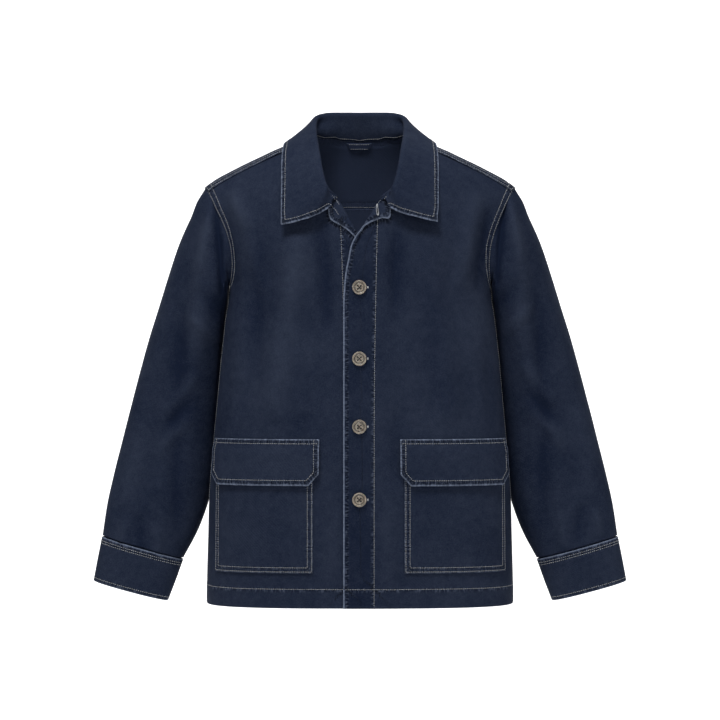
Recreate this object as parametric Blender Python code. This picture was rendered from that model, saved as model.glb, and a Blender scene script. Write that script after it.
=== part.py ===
"""Chore jacket, standing open and hollow as it is worn, cut and closed as a maker would build it.

Frame: metres, +Z up, +X to the wearer's left, the front faces -Y.  The origin is the middle of the
neck opening at the height of the neck ends of the shoulder seams.
"""
import math

import bpy
import numpy as np

for thing in list(bpy.data.objects):
    bpy.data.objects.remove(thing, do_unlink=True)

# ---------------------------------------------------------------- driving sizes
CLOTH = 0.0015            # wall of one layer of cloth with its turned-in edges
DOUBLE = 0.0024           # wall of the two-layer collar and cuffs
SEAM_GAP = 0.0004         # between two pieces that a seam joins
ARMPIT_Z = -0.2066        # level of the armholes' lowest point
HEM_Z = -0.690
SHOULDER_Y = 0.005        # the shoulder ridge lies a little behind the neck's middle
SHOULDER_SEAM_TURN = math.radians(77)   # how far the front goes round the shoulder to its seam
SHOULDER_ARC = 0.19       # pattern height for one radian of that turn
UPPER_ROUND = 2.2         # exponent of the shoulder's vertical curve
UPPER_SECTION = 2.5       # exponent of the plan section above the armpit
UPPER_GROWTH = 0.054      # the section widens this much from armpit to shoulder tip
UPPER_GROWTH_POWER = 1.3

# plan sections of the body: height, half width, depth in front, depth behind, exponent
BODY_SECTIONS = [
    (-0.6900, 0.2320, 0.120, 0.108, 2.9),
    (-0.6000, 0.2300, 0.119, 0.107, 2.9),
    (-0.5200, 0.2280, 0.118, 0.106, 2.8),
    (-0.4440, 0.2220, 0.117, 0.105, 2.8),
    (-0.3825, 0.2165, 0.117, 0.104, 2.7),
    (-0.3210, 0.2110, 0.116, 0.103, 2.6),
    (-0.2600, 0.2040, 0.115, 0.103, 2.5),
    (-0.2295, 0.1992, 0.115, 0.103, 2.5),
    (-0.2066, 0.1980, 0.115, 0.103, 2.5),
]
# shoulder ridge: distance from the middle, height
SHOULDER_RIDGE = [
    (0.000, 0.0770), (0.030, 0.0660), (0.055, 0.0400), (0.079, 0.0195), (0.100, 0.0115),
    (0.1216, 0.0030), (0.1476, -0.0090), (0.1737, -0.0212), (0.1980, -0.0335), (0.2210, -0.0460),
    (0.2360, -0.0575), (0.2500, -0.0690),
]
# armhole seam: height, distance from the middle in front, and behind
ARMHOLE = [
    (-0.2066, 0.1980, 0.1980), (-0.1956, 0.1962, 0.1975), (-0.1805, 0.1954, 0.1985),
    (-0.1495, 0.1982, 0.2025), (-0.1209, 0.2060, 0.2095), (-0.0943, 0.2170, 0.2190),
    (-0.0600, 0.2347, 0.2347),
]
NECK_POINT_X = 0.079      # neck end of the shoulder seam
# neckline of a front, from the lapel's roll to the shoulder seam: distance, height
FRONT_NECKLINE = [
    (0.0326, -0.0867), (0.0460, -0.0760), (0.0580, -0.0560), (0.0680, -0.0260), (0.0755, 0.0000),
    (0.0790, 0.0150),
]
YOKE_SEAM_Z = -0.085


# ---------------------------------------------------------------- curves and tables
def smooth(value, low, high):
    """0 below low, 1 above high, an even rise between."""
    t = min(max((value - low) / (high - low), 0.0), 1.0)
    return t * t * (3.0 - 2.0 * t)


def lookup(table, column, at, key=0):
    """Smooth reading of a table's column at a value of its key column."""
    keys = [row[key] for row in table]
    values = [row[column] for row in table]
    if keys[0] > keys[-1]:
        keys.reverse()
        values.reverse()
    at = min(max(at, keys[0]), keys[-1])
    i = min(max(int(np.searchsorted(keys, at)) - 1, 0), len(keys) - 2)
    slopes = []
    for k in (i, i + 1):
        before, after = max(k - 1, 0), min(k + 1, len(keys) - 1)
        slopes.append((values[after] - values[before]) / (keys[after] - keys[before]))
    width = keys[i + 1] - keys[i]
    t = (at - keys[i]) / width
    return ((2 * t ** 3 - 3 * t ** 2 + 1) * values[i] + (t ** 3 - 2 * t ** 2 + t) * width * slopes[0]
            + (3 * t ** 2 - 2 * t ** 3) * values[i + 1] + (t ** 3 - t ** 2) * width * slopes[1])


def along(points, share):
    """Point at a share of the length of a line through points."""
    points = np.asarray(points, dtype=float)
    steps = np.linalg.norm(np.diff(points, axis=0), axis=1)
    length = np.concatenate([[0.0], np.cumsum(steps)])
    return np.array([np.interp(share * length[-1], length, points[:, k])
                     for k in range(points.shape[1])])


def unit(vector):
    return vector / max(np.linalg.norm(vector), 1e-12)


# ---------------------------------------------------------------- the body's form
def even_girth():
    """Section angle against share of the quarter girth, for a typical section."""
    angle = np.linspace(0.0, math.pi / 2, 241)
    x = np.sin(angle) ** (2 / 2.6)
    y = 0.55 * np.cos(angle) ** (2 / 2.6)
    length = np.concatenate([[0.0], np.cumsum(np.hypot(np.diff(x), np.diff(y)))])
    return length / length[-1], angle


GIRTH_SHARE, GIRTH_ANGLE = even_girth()


def body_size(height):
    """Half width, front depth, back depth and exponent of the body at a pattern height."""
    z = ARMPIT_Z + min(height, 0.0)
    size = [lookup(BODY_SECTIONS, column, z) for column in (1, 2, 3, 4)]
    if height > 0.0:
        rise = math.sin(min(height / SHOULDER_ARC, math.pi / 2))
        size[0] += UPPER_GROWTH * rise ** UPPER_GROWTH_POWER
        size[3] = UPPER_SECTION
    return size


def body(side, girth, height):
    """Point of the cloth's middle surface.

    side is -1 in front and 1 behind, girth runs from 0 at the middle to 1 at the side seam, and
    height is measured on the pattern from the armpit's level.
    """
    half, front, back, power = body_size(height)
    depth = front if side < 0 else back
    angle = np.interp(abs(girth), GIRTH_SHARE, GIRTH_ANGLE)
    x = math.copysign(half * math.sin(angle) ** (2 / power), girth)
    reach = depth * max(math.cos(angle), 0.0) ** (2 / power)
    if height <= 0.0:
        return np.array([x, side * reach, ARMPIT_Z + height])
    turn = min(height / SHOULDER_ARC, math.pi / 2)
    ridge = lookup(SHOULDER_RIDGE, 1, abs(x))
    fall = max(math.cos(turn), 0.0) ** (2 / UPPER_ROUND)
    lift = math.sin(turn) ** (2 / UPPER_ROUND)
    z = ARMPIT_Z + (ridge - ARMPIT_Z) * lift
    return np.array([x, SHOULDER_Y * (1 - fall) + side * reach * fall, z])


def pattern_place(x, z):
    """Girth and pattern height of the point that a straight look along Y finds at x and z."""
    if z <= ARMPIT_Z:
        height = z - ARMPIT_Z
    else:
        lift = (z - ARMPIT_Z) / (lookup(SHOULDER_RIDGE, 1, abs(x)) - ARMPIT_Z)
        height = SHOULDER_ARC * math.asin(min(lift, 1.0) ** (UPPER_ROUND / 2))
    half, _, _, power = body_size(height)
    angle = math.asin(min(abs(x) / half, 1.0) ** (power / 2))
    return np.array([math.copysign(np.interp(angle, GIRTH_ANGLE, GIRTH_SHARE), x), height])


# ---------------------------------------------------------------- walls and objects
def cloth_colour(name, colour, roughness=0.9):
    material = bpy.data.materials.new(name)
    material.use_nodes = True
    shader = material.node_tree.nodes["Principled BSDF"]
    shader.inputs["Base Color"].default_value = (*colour, 1.0)
    shader.inputs["Roughness"].default_value = roughness
    return material


NAVY = (0.021, 0.027, 0.050)


def add_object(name, points, faces, colour=NAVY, roughness=0.9):
    mesh = bpy.data.meshes.new(name)
    mesh.from_pydata([tuple(point) for point in points], [], faces)
    mesh.materials.append(cloth_colour(name + "_cloth", colour, roughness))
    mesh.shade_smooth()
    mesh.set_sharp_from_angle(angle=math.radians(50))
    mesh.validate()
    item = bpy.data.objects.new(name, mesh)
    bpy.context.collection.objects.link(item)
    return item


def grid_normals(grid, ring):
    """Unit normals of a grid of points; ring says that its columns close round a tube."""
    if ring:
        across = np.roll(grid, -1, axis=1) - np.roll(grid, 1, axis=1)
    else:
        across = np.gradient(grid, axis=1)
    up = np.gradient(grid, axis=0)
    normals = np.cross(across, up)
    return normals / np.maximum(np.linalg.norm(normals, axis=2, keepdims=True), 1e-12)


def wall(name, grid, thickness, ring=False):
    """Closed wall of cloth whose middle is a grid of points, rows first."""
    grid = np.asarray(grid, dtype=float)
    rows, columns = grid.shape[:2]
    offset = grid_normals(grid, ring) * (thickness / 2)
    points = np.concatenate([(grid + offset).reshape(-1, 3), (grid - offset).reshape(-1, 3)])
    back = rows * columns
    faces = []
    for i in range(rows - 1):
        for j in range(columns if ring else columns - 1):
            k = (j + 1) % columns
            a, b, c, d = i * columns + j, i * columns + k, (i + 1) * columns + k, (i + 1) * columns + j
            faces.append((a, b, c, d))
            faces.append((back + d, back + c, back + b, back + a))
    edge = [(j, (j + 1) % columns) for j in range(columns if ring else columns - 1)]
    edge += [((rows - 1) * columns + k, (rows - 1) * columns + j) for j, k in edge]
    if not ring:
        edge += [((i + 1) * columns, i * columns) for i in range(rows - 1)]
        edge += [(i * columns + columns - 1, (i + 1) * columns + columns - 1) for i in range(rows - 1)]
    faces += [(b, a, back + a, back + b) for a, b in edge]
    return add_object(name, points, faces)


def blend_patch(left, right, bottom, top, rows, columns):
    """Coons patch: four sides as functions of a share, rows and columns as shares of the way."""
    corner = [[left(0.0), right(0.0)], [left(1.0), right(1.0)]]
    grid = []
    for v in rows:
        line = []
        for u in columns:
            line.append((1 - u) * left(v) + u * right(v) + (1 - v) * bottom(u) + v * top(u)
                        - (1 - u) * (1 - v) * corner[0][0] - u * (1 - v) * corner[0][1]
                        - (1 - u) * v * corner[1][0] - u * v * corner[1][1])
        grid.append(line)
    return np.array(grid)


# ---------------------------------------------------------------- fronts
# The strip along a front's edge is the placket; above it rolls open as a small lapel.
# rows: roll x, roll z, edge x, edge z, turn of the roll (degrees), its radius
LAPEL_OVER = [      # wearer's left front, which lies on top
    (-0.0165, -0.2319, -0.0245, -0.2319, 2, 0.0020),
    (-0.0150, -0.1960, -0.0218, -0.1960, 15, 0.0020),
    (-0.0105, -0.1710, -0.0168, -0.1700, 60, 0.0022),
    (-0.0055, -0.1480, -0.0120, -0.1490, 120, 0.0024),
    (0.0037, -0.1280, -0.0008, -0.1306, 175, 0.0026),
    (0.0112, -0.1173, 0.0127, -0.1194, 180, 0.0027),
    (0.0192, -0.1053, 0.0308, -0.1122, 180, 0.0028),
    (0.0260, -0.0952, 0.0438, -0.1097, 180, 0.0029),
    (0.0322, -0.0868, 0.0431, -0.0768, 180, 0.0030),
]
LAPEL_UNDER = [     # wearer's right front, below; both tables are written for a left front
    (-0.0165, -0.2319, -0.0245, -0.2319, 2, 0.0016),
    (-0.0130, -0.1960, -0.0200, -0.1960, 5, 0.0016),
    (-0.0075, -0.1680, -0.0140, -0.1680, 30, 0.0016),
    (-0.0010, -0.1470, -0.0060, -0.1500, 110, 0.0016),
    (0.0055, -0.1330, 0.0085, -0.1375, 180, 0.0016),
    (0.0148, -0.1160, 0.0180, -0.1285, 180, 0.0019),
    (0.0232, -0.1030, 0.0285, -0.1215, 180, 0.0023),
    (0.0290, -0.0935, 0.0450, -0.1096, 180, 0.0027),
    (0.0350, -0.0850, 0.0458, -0.0768, 180, 0.0030),
]
EDGE_X = 0.0245           # a front's edge beyond the centre line
STRIP = 0.008             # width of the strip that turns, below the lapel
STRIP_STEPS = (1.0, 0.80, 0.60, 0.40, 0.20, 0.0)   # its columns, from the edge to the roll


def front_lift(over, x, z):
    """The left front rides over the right one where they overlap; the right one gives way."""
    near = 1.0 - smooth(x, 0.030, 0.085)
    high = smooth(z, -0.215, -0.150) * (1.0 - smooth(z, -0.120, -0.070))
    if over:
        return near * (0.0024 + 0.0030 * high)
    return -0.0006 * near


def front_fold(x, z):
    """Soft folds of the fronts: how far the cloth stands out from the body's form."""
    depth = 0.0
    for centre, lean, low, high, width, height in FRONT_FOLDS:
        middle = centre + lean * (z - high)
        reach = smooth(z, low, low + 0.06) * (1.0 - smooth(z, high - 0.05, high))
        depth += height * reach * math.exp(-((x - middle) / width) ** 2)
    return depth


# folds: place across at the top, its lean, lowest and highest z, width, height
FRONT_FOLDS = [
    (0.092, -0.16, -0.445, -0.110, 0.022, 0.0045),
    (0.052, -0.05, -0.440, -0.130, 0.016, -0.0030),
    (0.135, -0.10, -0.445, -0.150, 0.020, -0.0028),
    (0.172, 0.15, -0.260, -0.060, 0.012, 0.0026),
    (0.150, -0.20, -0.700, -0.450, 0.045, 0.0020),
]


def front_point(over, girth, height, extra=0.0):
    """Middle point of a front, with its overlap and folds, and extra moved out."""
    step = 1e-4
    here = body(-1, girth, height)
    normal = np.cross(body(-1, girth + step, height) - here, body(-1, girth, height + step) - here)
    out = front_lift(over, here[0], here[2]) + front_fold(here[0], here[2]) + extra
    return here + unit(normal) * out


def strip_row(over, row):
    """One row of the placket strip or lapel, from its free edge to the roll."""
    roll_x, roll_z, edge_x, edge_z, turn, radius = row[:6]
    start = front_point(over, *pattern_place(roll_x, roll_z))
    normal = unit(front_point(over, *pattern_place(roll_x, roll_z), extra=0.001) - start)
    direction = row[6]
    sideways = unit(np.cross(normal, direction))
    turn = math.radians(turn)
    flat = front_point(over, *pattern_place(edge_x, edge_z))
    share = turn / math.pi
    rest_on = flat + normal * 2 * radius * share ** 2 * (1.0 if share > 0.5 else share * 2)
    arc_end = max(turn * radius, 1e-6)
    points = []
    for k, step in enumerate(STRIP_STEPS):
        bend = arc_end * min(1.0, (5 - k) / 3.0)
        curl = (start + sideways * radius * math.sin(bend / radius)
                + normal * radius * (1 - math.cos(bend / radius)))
        onward = max(0.0, (2 - k) / 2.0)
        rolled = curl * (1 - onward) + rest_on * onward
        even = start * (1 - step) + rest_on * step
        roll = smooth(share, 0.15, 0.75)
        points.append(even * (1 - roll) + rolled * roll)
    return points


FRONT_ROWS_LOW = 12       # rows from the hem to the lapel's foot
SHOULDER_STEPS = np.array([0.0, 0.16, 0.32, 0.48, 0.62, 0.74, 0.84, 0.92, 1.0])
NECK_STEPS = np.array([0.0, 0.05, 0.11, 0.18, 0.28, 0.39])
SEAM_SHARE = 0.50         # columns up to here end at the neckline, the rest at the shoulder seam
FRONT_COLUMNS = np.concatenate([NECK_STEPS, SEAM_SHARE + (1 - SEAM_SHARE) * SHOULDER_STEPS])
LAPEL_FOOT_Z = LAPEL_OVER[0][1]


def shoulder_seam(share):
    """Girth and height along the front's shoulder seam, from the neck to the shoulder tip."""
    height = SHOULDER_ARC * SHOULDER_SEAM_TURN
    x = NECK_POINT_X + share * (ARMHOLE[-1][1] - NECK_POINT_X)
    half, _, _, power = body_size(height)
    angle = math.asin(min(x / half, 1.0) ** (power / 2))
    return np.array([np.interp(angle, GIRTH_ANGLE, GIRTH_SHARE), height])


def armhole_place(side, share):
    """Girth and height on the armhole, from the armpit (0) to the shoulder seam (1)."""
    z = ARMPIT_Z + share * (ARMHOLE[-1][0] - ARMPIT_Z)
    x = lookup(ARMHOLE, 1 if side < 0 else 2, z)
    spot = pattern_place(x, z)
    if side < 0:
        spot = spot * (1 - smooth(share, 0.86, 1.0)) + shoulder_seam(1.0) * smooth(share, 0.86, 1.0)
    return spot


def lapel_rows(table, count):
    """The lapel table read at even steps, with the roll's direction added to each row."""
    keys = list(range(len(table)))
    keyed = [(key, *row) for key, row in zip(keys, table)]
    rows = []
    for at in np.linspace(0, len(table) - 1, count):
        row = [lookup(keyed, column, at) for column in range(1, 7)]
        ahead = [lookup(keyed, column, min(at + 0.05, len(table) - 1)) for column in (1, 2)]
        behind = [lookup(keyed, column, max(at - 0.05, 0)) for column in (1, 2)]
        row.append(unit(body(-1, *pattern_place(*ahead)) - body(-1, *pattern_place(*behind))))
        rows.append(row)
    return rows


def front_grid(over):
    """Middle grid of a left front; the right one is its mirror image with the under table."""
    table = LAPEL_OVER if over else LAPEL_UNDER
    upper = lapel_rows(table, 15)
    grid = []
    for z in np.linspace(HEM_Z, LAPEL_FOOT_Z, FRONT_ROWS_LOW, endpoint=False):
        row = (-EDGE_X + STRIP, z, -EDGE_X, z, 2, 0.002, np.array([0.0, 0.0, 1.0]))
        line = strip_row(over, row)
        start = pattern_place(-EDGE_X + STRIP, z)
        end = np.array([1.0, z - ARMPIT_Z])
        line += [front_point(over, *(start + u * (end - start))) for u in FRONT_COLUMNS[1:]]
        grid.append(line)
    roll = [pattern_place(row[0], row[1]) for row in upper]
    neckline = [roll[-1]] + [pattern_place(x, z) for x, z in FRONT_NECKLINE[1:]]
    neckline[-1] = shoulder_seam(0.0)
    top = neckline + [shoulder_seam(t) for t in (0.25, 0.5, 0.75, 1.0)]
    foot = LAPEL_FOOT_Z - ARMPIT_Z
    side = [np.array([1.0, foot]), np.array([1.0, foot / 2])]
    side += [armhole_place(-1, t) for t in (0.0, 0.04, 0.09, 0.2, 0.35, 0.5, 0.65, 0.8, 0.9, 1.0)]
    rows = np.linspace(0.0, 1.0, 15)
    patch = blend_patch(
        lambda v: roll[int(round(v * 14))], lambda v: along(side, v),
        lambda u: np.array([roll[0][0] + u * (1.0 - roll[0][0]), foot]),
        lambda u: (along(neckline, u / SEAM_SHARE) if u < SEAM_SHARE else
                   shoulder_seam((u - SEAM_SHARE) / (1 - SEAM_SHARE))),
        rows, FRONT_COLUMNS)
    for row, line in zip(upper, patch):
        grid.append(strip_row(over, row) + [front_point(over, *spot) for spot in line[1:]])
    return np.array(grid)


def mirrored(grid):
    return grid * np.array([-1.0, 1.0, 1.0])


wall("front_left", front_grid(True), CLOTH)
wall("front_right", mirrored(front_grid(False)), CLOTH)


# ---------------------------------------------------------------- back and yoke
NECK_SHARE = 0.40         # columns up to here end at the neckline
HALF_BACK = np.concatenate([np.linspace(0.0, NECK_SHARE, 7)[:-1],
                            NECK_SHARE + (1 - NECK_SHARE) * SHOULDER_STEPS])
SHOULDER_TOP = SHOULDER_ARC * (math.pi - SHOULDER_SEAM_TURN)   # pattern height of the seam


def over_shoulder(girth, height):
    """Back of the body, carried on over the ridge and down the front to the shoulder seam."""
    ridge = SHOULDER_ARC * math.pi / 2
    if height <= ridge:
        return body(1, girth, height)
    return body(-1, girth, 2 * ridge - height)


def back_armhole(share):
    """Girth and height on the back's side of the armhole, from the armpit to the seam."""
    z = ARMPIT_Z + share * (ARMHOLE[-1][0] - ARMPIT_Z)
    spot = pattern_place(lookup(ARMHOLE, 2, z), z)
    onward = smooth(share, 0.80, 1.0)
    return spot * (1 - onward) + np.array([shoulder_seam(1.0)[0], SHOULDER_TOP]) * onward


def whole_width(half):
    """A half grid from the middle outwards, completed with its mirror image."""
    return np.concatenate([mirrored(half[:, :0:-1]), half], axis=1)


YOKE_END = 0.74           # share of the armhole at which the yoke seam meets it


def yoke_seam(share):
    """Girth and height on the yoke seam, from the centre back to the armhole."""
    end_z = ARMPIT_Z + YOKE_END * (ARMHOLE[-1][0] - ARMPIT_Z)
    x = share * lookup(ARMHOLE, 2, end_z)
    return pattern_place(x, YOKE_SEAM_Z + share ** 2 * (end_z - YOKE_SEAM_Z))


def back_grid():
    rows = [[body(1, u, z - ARMPIT_Z) for u in HALF_BACK]
            for z in np.linspace(HEM_Z, -0.250, 11, endpoint=False)]
    foot = -0.250 - ARMPIT_Z
    side = [np.array([1.0, foot]), np.array([1.0, foot / 2])]
    side += [back_armhole(t) for t in (0.0, 0.04, 0.09, 0.2, 0.35, 0.5, 0.62, YOKE_END)]
    patch = blend_patch(
        lambda v: np.array([0.0, foot + v * (yoke_seam(0.0)[1] - foot)]), lambda v: along(side, v),
        lambda u: np.array([u, foot]), yoke_seam, np.linspace(0.0, 1.0, 10), HALF_BACK)
    rows += [[body(1, *spot) for spot in line] for line in patch]
    return whole_width(np.array(rows))


def yoke_neckline(share):
    """Girth and height on the neckline of the yoke, from the centre back to the neck point."""
    spots = []
    for x, turn in YOKE_NECKLINE:
        height = SHOULDER_ARC * math.radians(turn)
        half, _, _, power = body_size(height)
        angle = math.asin((x / half) ** (power / 2))
        spots.append((np.interp(angle, GIRTH_ANGLE, GIRTH_SHARE), height))
    spots[-1] = (shoulder_seam(0.0)[0], SHOULDER_TOP)
    return along(spots, share)


# the yoke's neckline: distance from the middle, turn up and over the shoulder in degrees
YOKE_NECKLINE = [(0.0, 50.8), (0.030, 54.3), (0.055, 65.8), (0.068, 76.0), (0.0755, 88.0),
                 (NECK_POINT_X, 103.0)]


def yoke_grid():
    gap = np.array([0.0, 2 * SEAM_GAP])
    left = [yoke_seam(0.0) + gap, yoke_neckline(0.0)]
    right = [back_armhole(t) for t in (YOKE_END, 0.80, 0.85, 0.90, 0.95, 1.0)]
    right[0] = right[0] + gap

    def top(u):
        if u < NECK_SHARE:
            return yoke_neckline(u / NECK_SHARE)
        return shoulder_seam((u - NECK_SHARE) / (1 - NECK_SHARE)) * [1, 0] + [0, SHOULDER_TOP]

    patch = blend_patch(lambda v: along(left, v), lambda v: along(right, v),
                        lambda u: yoke_seam(u) + gap, top, np.linspace(0.0, 1.0, 9), HALF_BACK)
    patch[-1, :, 1] -= 2 * SEAM_GAP
    return whole_width(np.array([[over_shoulder(*spot) for spot in line] for line in patch]))


def side_gap(grid):
    """Narrow a full-width grid a little, so that it stands off the pieces sewn to its sides."""
    shrunk = grid.copy()
    for end, neighbour in ((0, 1), (-1, -2)):
        edge = grid[:, neighbour] - grid[:, end]
        shrunk[:, end] += edge / np.linalg.norm(edge, axis=1, keepdims=True) * SEAM_GAP
    return shrunk


wall("back", side_gap(back_grid()), CLOTH)
wall("back_yoke", yoke_grid(), CLOTH)


# ---------------------------------------------------------------- sleeves and cuffs
# rings of the left sleeve: outer x, outer z, inner x, inner z, middle y, half depth
SLEEVE_RINGS = [
    (0.2489, -0.0747, 0.1996, -0.2180, 0.006, 0.060),
    (0.2621, -0.1055, 0.1996, -0.2334, 0.012, 0.061),
    (0.2767, -0.1425, 0.2012, -0.2535, 0.020, 0.061),
    (0.2937, -0.1918, 0.2027, -0.2812, 0.029, 0.060),
    (0.3091, -0.2396, 0.2066, -0.3151, 0.036, 0.059),
    (0.3245, -0.2874, 0.2096, -0.3521, 0.041, 0.057),
    (0.3384, -0.3367, 0.2135, -0.3907, 0.044, 0.055),
    (0.3522, -0.3891, 0.2173, -0.4323, 0.045, 0.052),
    (0.3653, -0.4415, 0.2204, -0.4801, 0.044, 0.048),
    (0.3784, -0.4939, 0.2325, -0.5325, 0.040, 0.043),
    (0.3892, -0.5433, 0.2505, -0.5826, 0.036, 0.038),
    (0.3960, -0.5903, 0.2728, -0.6250, 0.032, 0.033),
]
CUFF_RINGS = [
    (0.3966, -0.5938, 0.2738, -0.6285, 0.032, 0.0335),
    (0.4031, -0.6265, 0.2852, -0.6605, 0.031, 0.0320),
    (0.4094, -0.6602, 0.2967, -0.6904, 0.030, 0.0300),
]
AROUND = 24               # points round a sleeve
SLEEVE_SECTION = 2.3      # exponent of its section
SLEEVE_START = 0.0012     # how far the sleeve stands off the armhole's edge


def ring_points(row, exponent=SLEEVE_SECTION, count=AROUND):
    """Points of one ring, from its outer side round the front and back again."""
    outer_x, outer_z, inner_x, inner_z, middle_y, depth = row
    outer = np.array([outer_x, middle_y, outer_z])
    inner = np.array([inner_x, middle_y, inner_z])
    centre, reach = (outer + inner) / 2, (outer - inner) / 2
    points = []
    for k in range(count):
        angle = 2 * math.pi * k / count
        c = math.copysign(abs(math.cos(angle)) ** (2 / exponent), math.cos(angle))
        s = math.copysign(abs(math.sin(angle)) ** (2 / exponent), math.sin(angle))
        points.append(centre + reach * c + np.array([0.0, -depth * s, 0.0]))
    return np.array(points)


def armhole_ring(count=AROUND):
    """Points of the armhole seam in the order of a sleeve ring's points."""
    points = []
    for k in range(count):
        angle = 2 * math.pi * k / count
        share = (1 + math.cos(angle)) / 2
        if angle <= math.pi:
            points.append(body(-1, *armhole_place(-1, share)))
        else:
            points.append(over_shoulder(*back_armhole(share)))
    return np.array(points)


def sleeve_fold(ring_share, angle):
    """Soft folds of a sleeve: a ridge down its front, a trough beside it."""
    ridge = math.exp(-((angle - 1.75) / 0.28) ** 2) * smooth(ring_share, 0.02, 0.2)
    ridge *= 1.0 - smooth(ring_share, 0.45, 0.75)
    trough = math.exp(-((angle - 1.20) / 0.30) ** 2) * smooth(ring_share, 0.15, 0.35)
    trough *= 1.0 - smooth(ring_share, 0.75, 0.98)
    return 0.0040 * ridge - 0.0045 * trough


def clear_of_body(point, margin):
    """Move a point of the left sleeve out sideways until it clears the body's side."""
    x, y, z = point
    side = -1 if y < 0 else 1
    if z > ARMPIT_Z:
        limit = lookup(ARMHOLE, 1 if side < 0 else 2, min(z, -0.12)) + margin
    else:
        half, front, back, power = body_size(z - ARMPIT_Z)
        depth = min(abs(y) / (front if side < 0 else back), 1.0)
        limit = half * (1 - depth ** power) ** (1 / power) + margin
    soft = 0.003
    if x - limit > 10 * soft:
        return point
    return np.array([limit + soft * math.log1p(math.exp((x - limit) / soft)), y, z])


SLEEVE_CLEARANCE = 0.0025


def sleeve_grid():
    armhole = armhole_ring()
    first = ring_points(SLEEVE_RINGS[0])
    onward = first - armhole
    start = armhole + onward / np.linalg.norm(onward, axis=1, keepdims=True) * SLEEVE_START
    tip, pit = armhole[0], armhole[AROUND // 2]
    plain = ring_points((tip[0], tip[2], pit[0], pit[2], 0.004, 0.058))
    bend = armhole - plain
    rings = [np.array([clear_of_body(point, 0.0008) for point in start])]
    last = len(SLEEVE_RINGS) - 1
    for k, row in enumerate(SLEEVE_RINGS):
        keep = max(0.0, 1.0 - (k + 1) / 5.0) ** 1.3
        ring = ring_points(row) + bend * keep
        middle = ring.mean(axis=0)
        for j in range(AROUND):
            fold = sleeve_fold(k / last, 2 * math.pi * j / AROUND)
            ring[j] = clear_of_body(ring[j] + unit(ring[j] - middle) * fold, SLEEVE_CLEARANCE)
        rings.append(ring)
    return np.array(rings)


wall("sleeve_left", sleeve_grid(), CLOTH, ring=True)
wall("sleeve_right", mirrored(sleeve_grid()), CLOTH, ring=True)
cuff_rings = np.array([ring_points(row, 2.2) for row in CUFF_RINGS])
wall("cuff_left", cuff_rings, DOUBLE, ring=True)
wall("cuff_right", mirrored(cuff_rings), DOUBLE, ring=True)


# ---------------------------------------------------------------- collar
# crest of the collar's roll, from the centre back to its front end: share, x, y, z, radius
COLLAR_ROLL = [
    (0.000, 0.0000, 0.0620, 0.0620, 0.0040), (0.100, 0.0300, 0.0605, 0.0620, 0.0040),
    (0.190, 0.0525, 0.0520, 0.0605, 0.0038), (0.270, 0.0645, 0.0370, 0.0545, 0.0036),
    (0.385, 0.0675, 0.0080, 0.0400, 0.0034), (0.500, 0.0662, -0.0280, 0.0200, 0.0032),
    (0.620, 0.0628, -0.0600, 0.0000, 0.0030), (0.740, 0.0585, -0.0872, -0.0260, 0.0028),
    (0.850, 0.0534, -0.1070, -0.0500, 0.0026), (0.930, 0.0488, -0.1178, -0.0642, 0.0022),
    (1.000, 0.0442, -0.1184, -0.0745, 0.0016),
]
# outer edge of its leaf: share, x, turn up and over the shoulder in degrees
COLLAR_EDGE = [
    (0.00, 0.0000, 46.0), (0.10, 0.0360, 50.3), (0.19, 0.0680, 62.0), (0.27, 0.0930, 75.0),
    (0.36, 0.1120, 92.0), (0.45, 0.1165, 108.0), (0.60, 0.1178, 123.8), (0.75, 0.1174, 137.3),
    (0.90, 0.1176, 150.6), (1.00, 0.1180, 158.1),
]
COLLAR_REST = 0.0046      # the leaf's middle lies this far above the body's form
COLLAR_STEP = 0.019       # widest column of the collar along the neck seam
COLLAR_END_SHIFT = np.array([0.0, -0.0047, 0.0024])      # its open end lies on the lapel
COLLAR_CORNER = np.array([0.0030, -0.0052, -0.0115])     # from its seam to its inner front corner


def neck_seam(over):
    """Points of the neckline from the centre back to the lapel's end, and the way on from them."""
    yoke, front = yoke_grid(), front_grid(over)
    middle = yoke.shape[1] // 2
    neck_column = len(STRIP_STEPS) - 1 + len(NECK_STEPS)
    points = np.concatenate([yoke[-1][middle:middle + 6], front[-1][neck_column::-1]])
    normals = np.concatenate([-grid_normals(yoke, False)[-1][middle:middle + 6],
                              grid_normals(front, False)[-1][neck_column::-1]])
    if normals[0][1] < 0:
        normals[:6] = -normals[:6]
    if normals[-6][1] > 0:
        normals[6:] = -normals[6:]
    onward = np.cross(np.gradient(points, axis=0), normals)
    return points, onward / np.linalg.norm(onward, axis=1, keepdims=True)


CHEST_HALF = 0.198        # half width of the body's form under the shoulders
CHEST_FRONT = 0.115       # its depth in front of the middle
CHEST_BACK = 0.103        # and behind it


def above_body(point, rest):
    """Move a point out from the middle of the chest until it is rest above the body's form."""
    x, y, z = point
    centre = np.array([x, SHOULDER_Y, ARMPIT_Z])
    reach = point - centre
    ridge = lookup(SHOULDER_RIDGE, 1, abs(x)) - ARMPIT_Z
    across = min(abs(x) / (CHEST_HALF + 0.8 * UPPER_GROWTH), 1.0)
    angle = math.asin(across ** (UPPER_SECTION / 2))
    depth = CHEST_FRONT + SHOULDER_Y if y < SHOULDER_Y else CHEST_BACK - SHOULDER_Y
    depth *= math.cos(angle) ** (2 / UPPER_SECTION)
    size = ((max(z - ARMPIT_Z, 0) / ridge) ** UPPER_ROUND
            + (abs(y - SHOULDER_Y) / depth) ** UPPER_ROUND) ** (1 / UPPER_ROUND)
    needed = 1 / size + rest / np.linalg.norm(reach)
    return centre + reach * max(1.0, needed)


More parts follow.
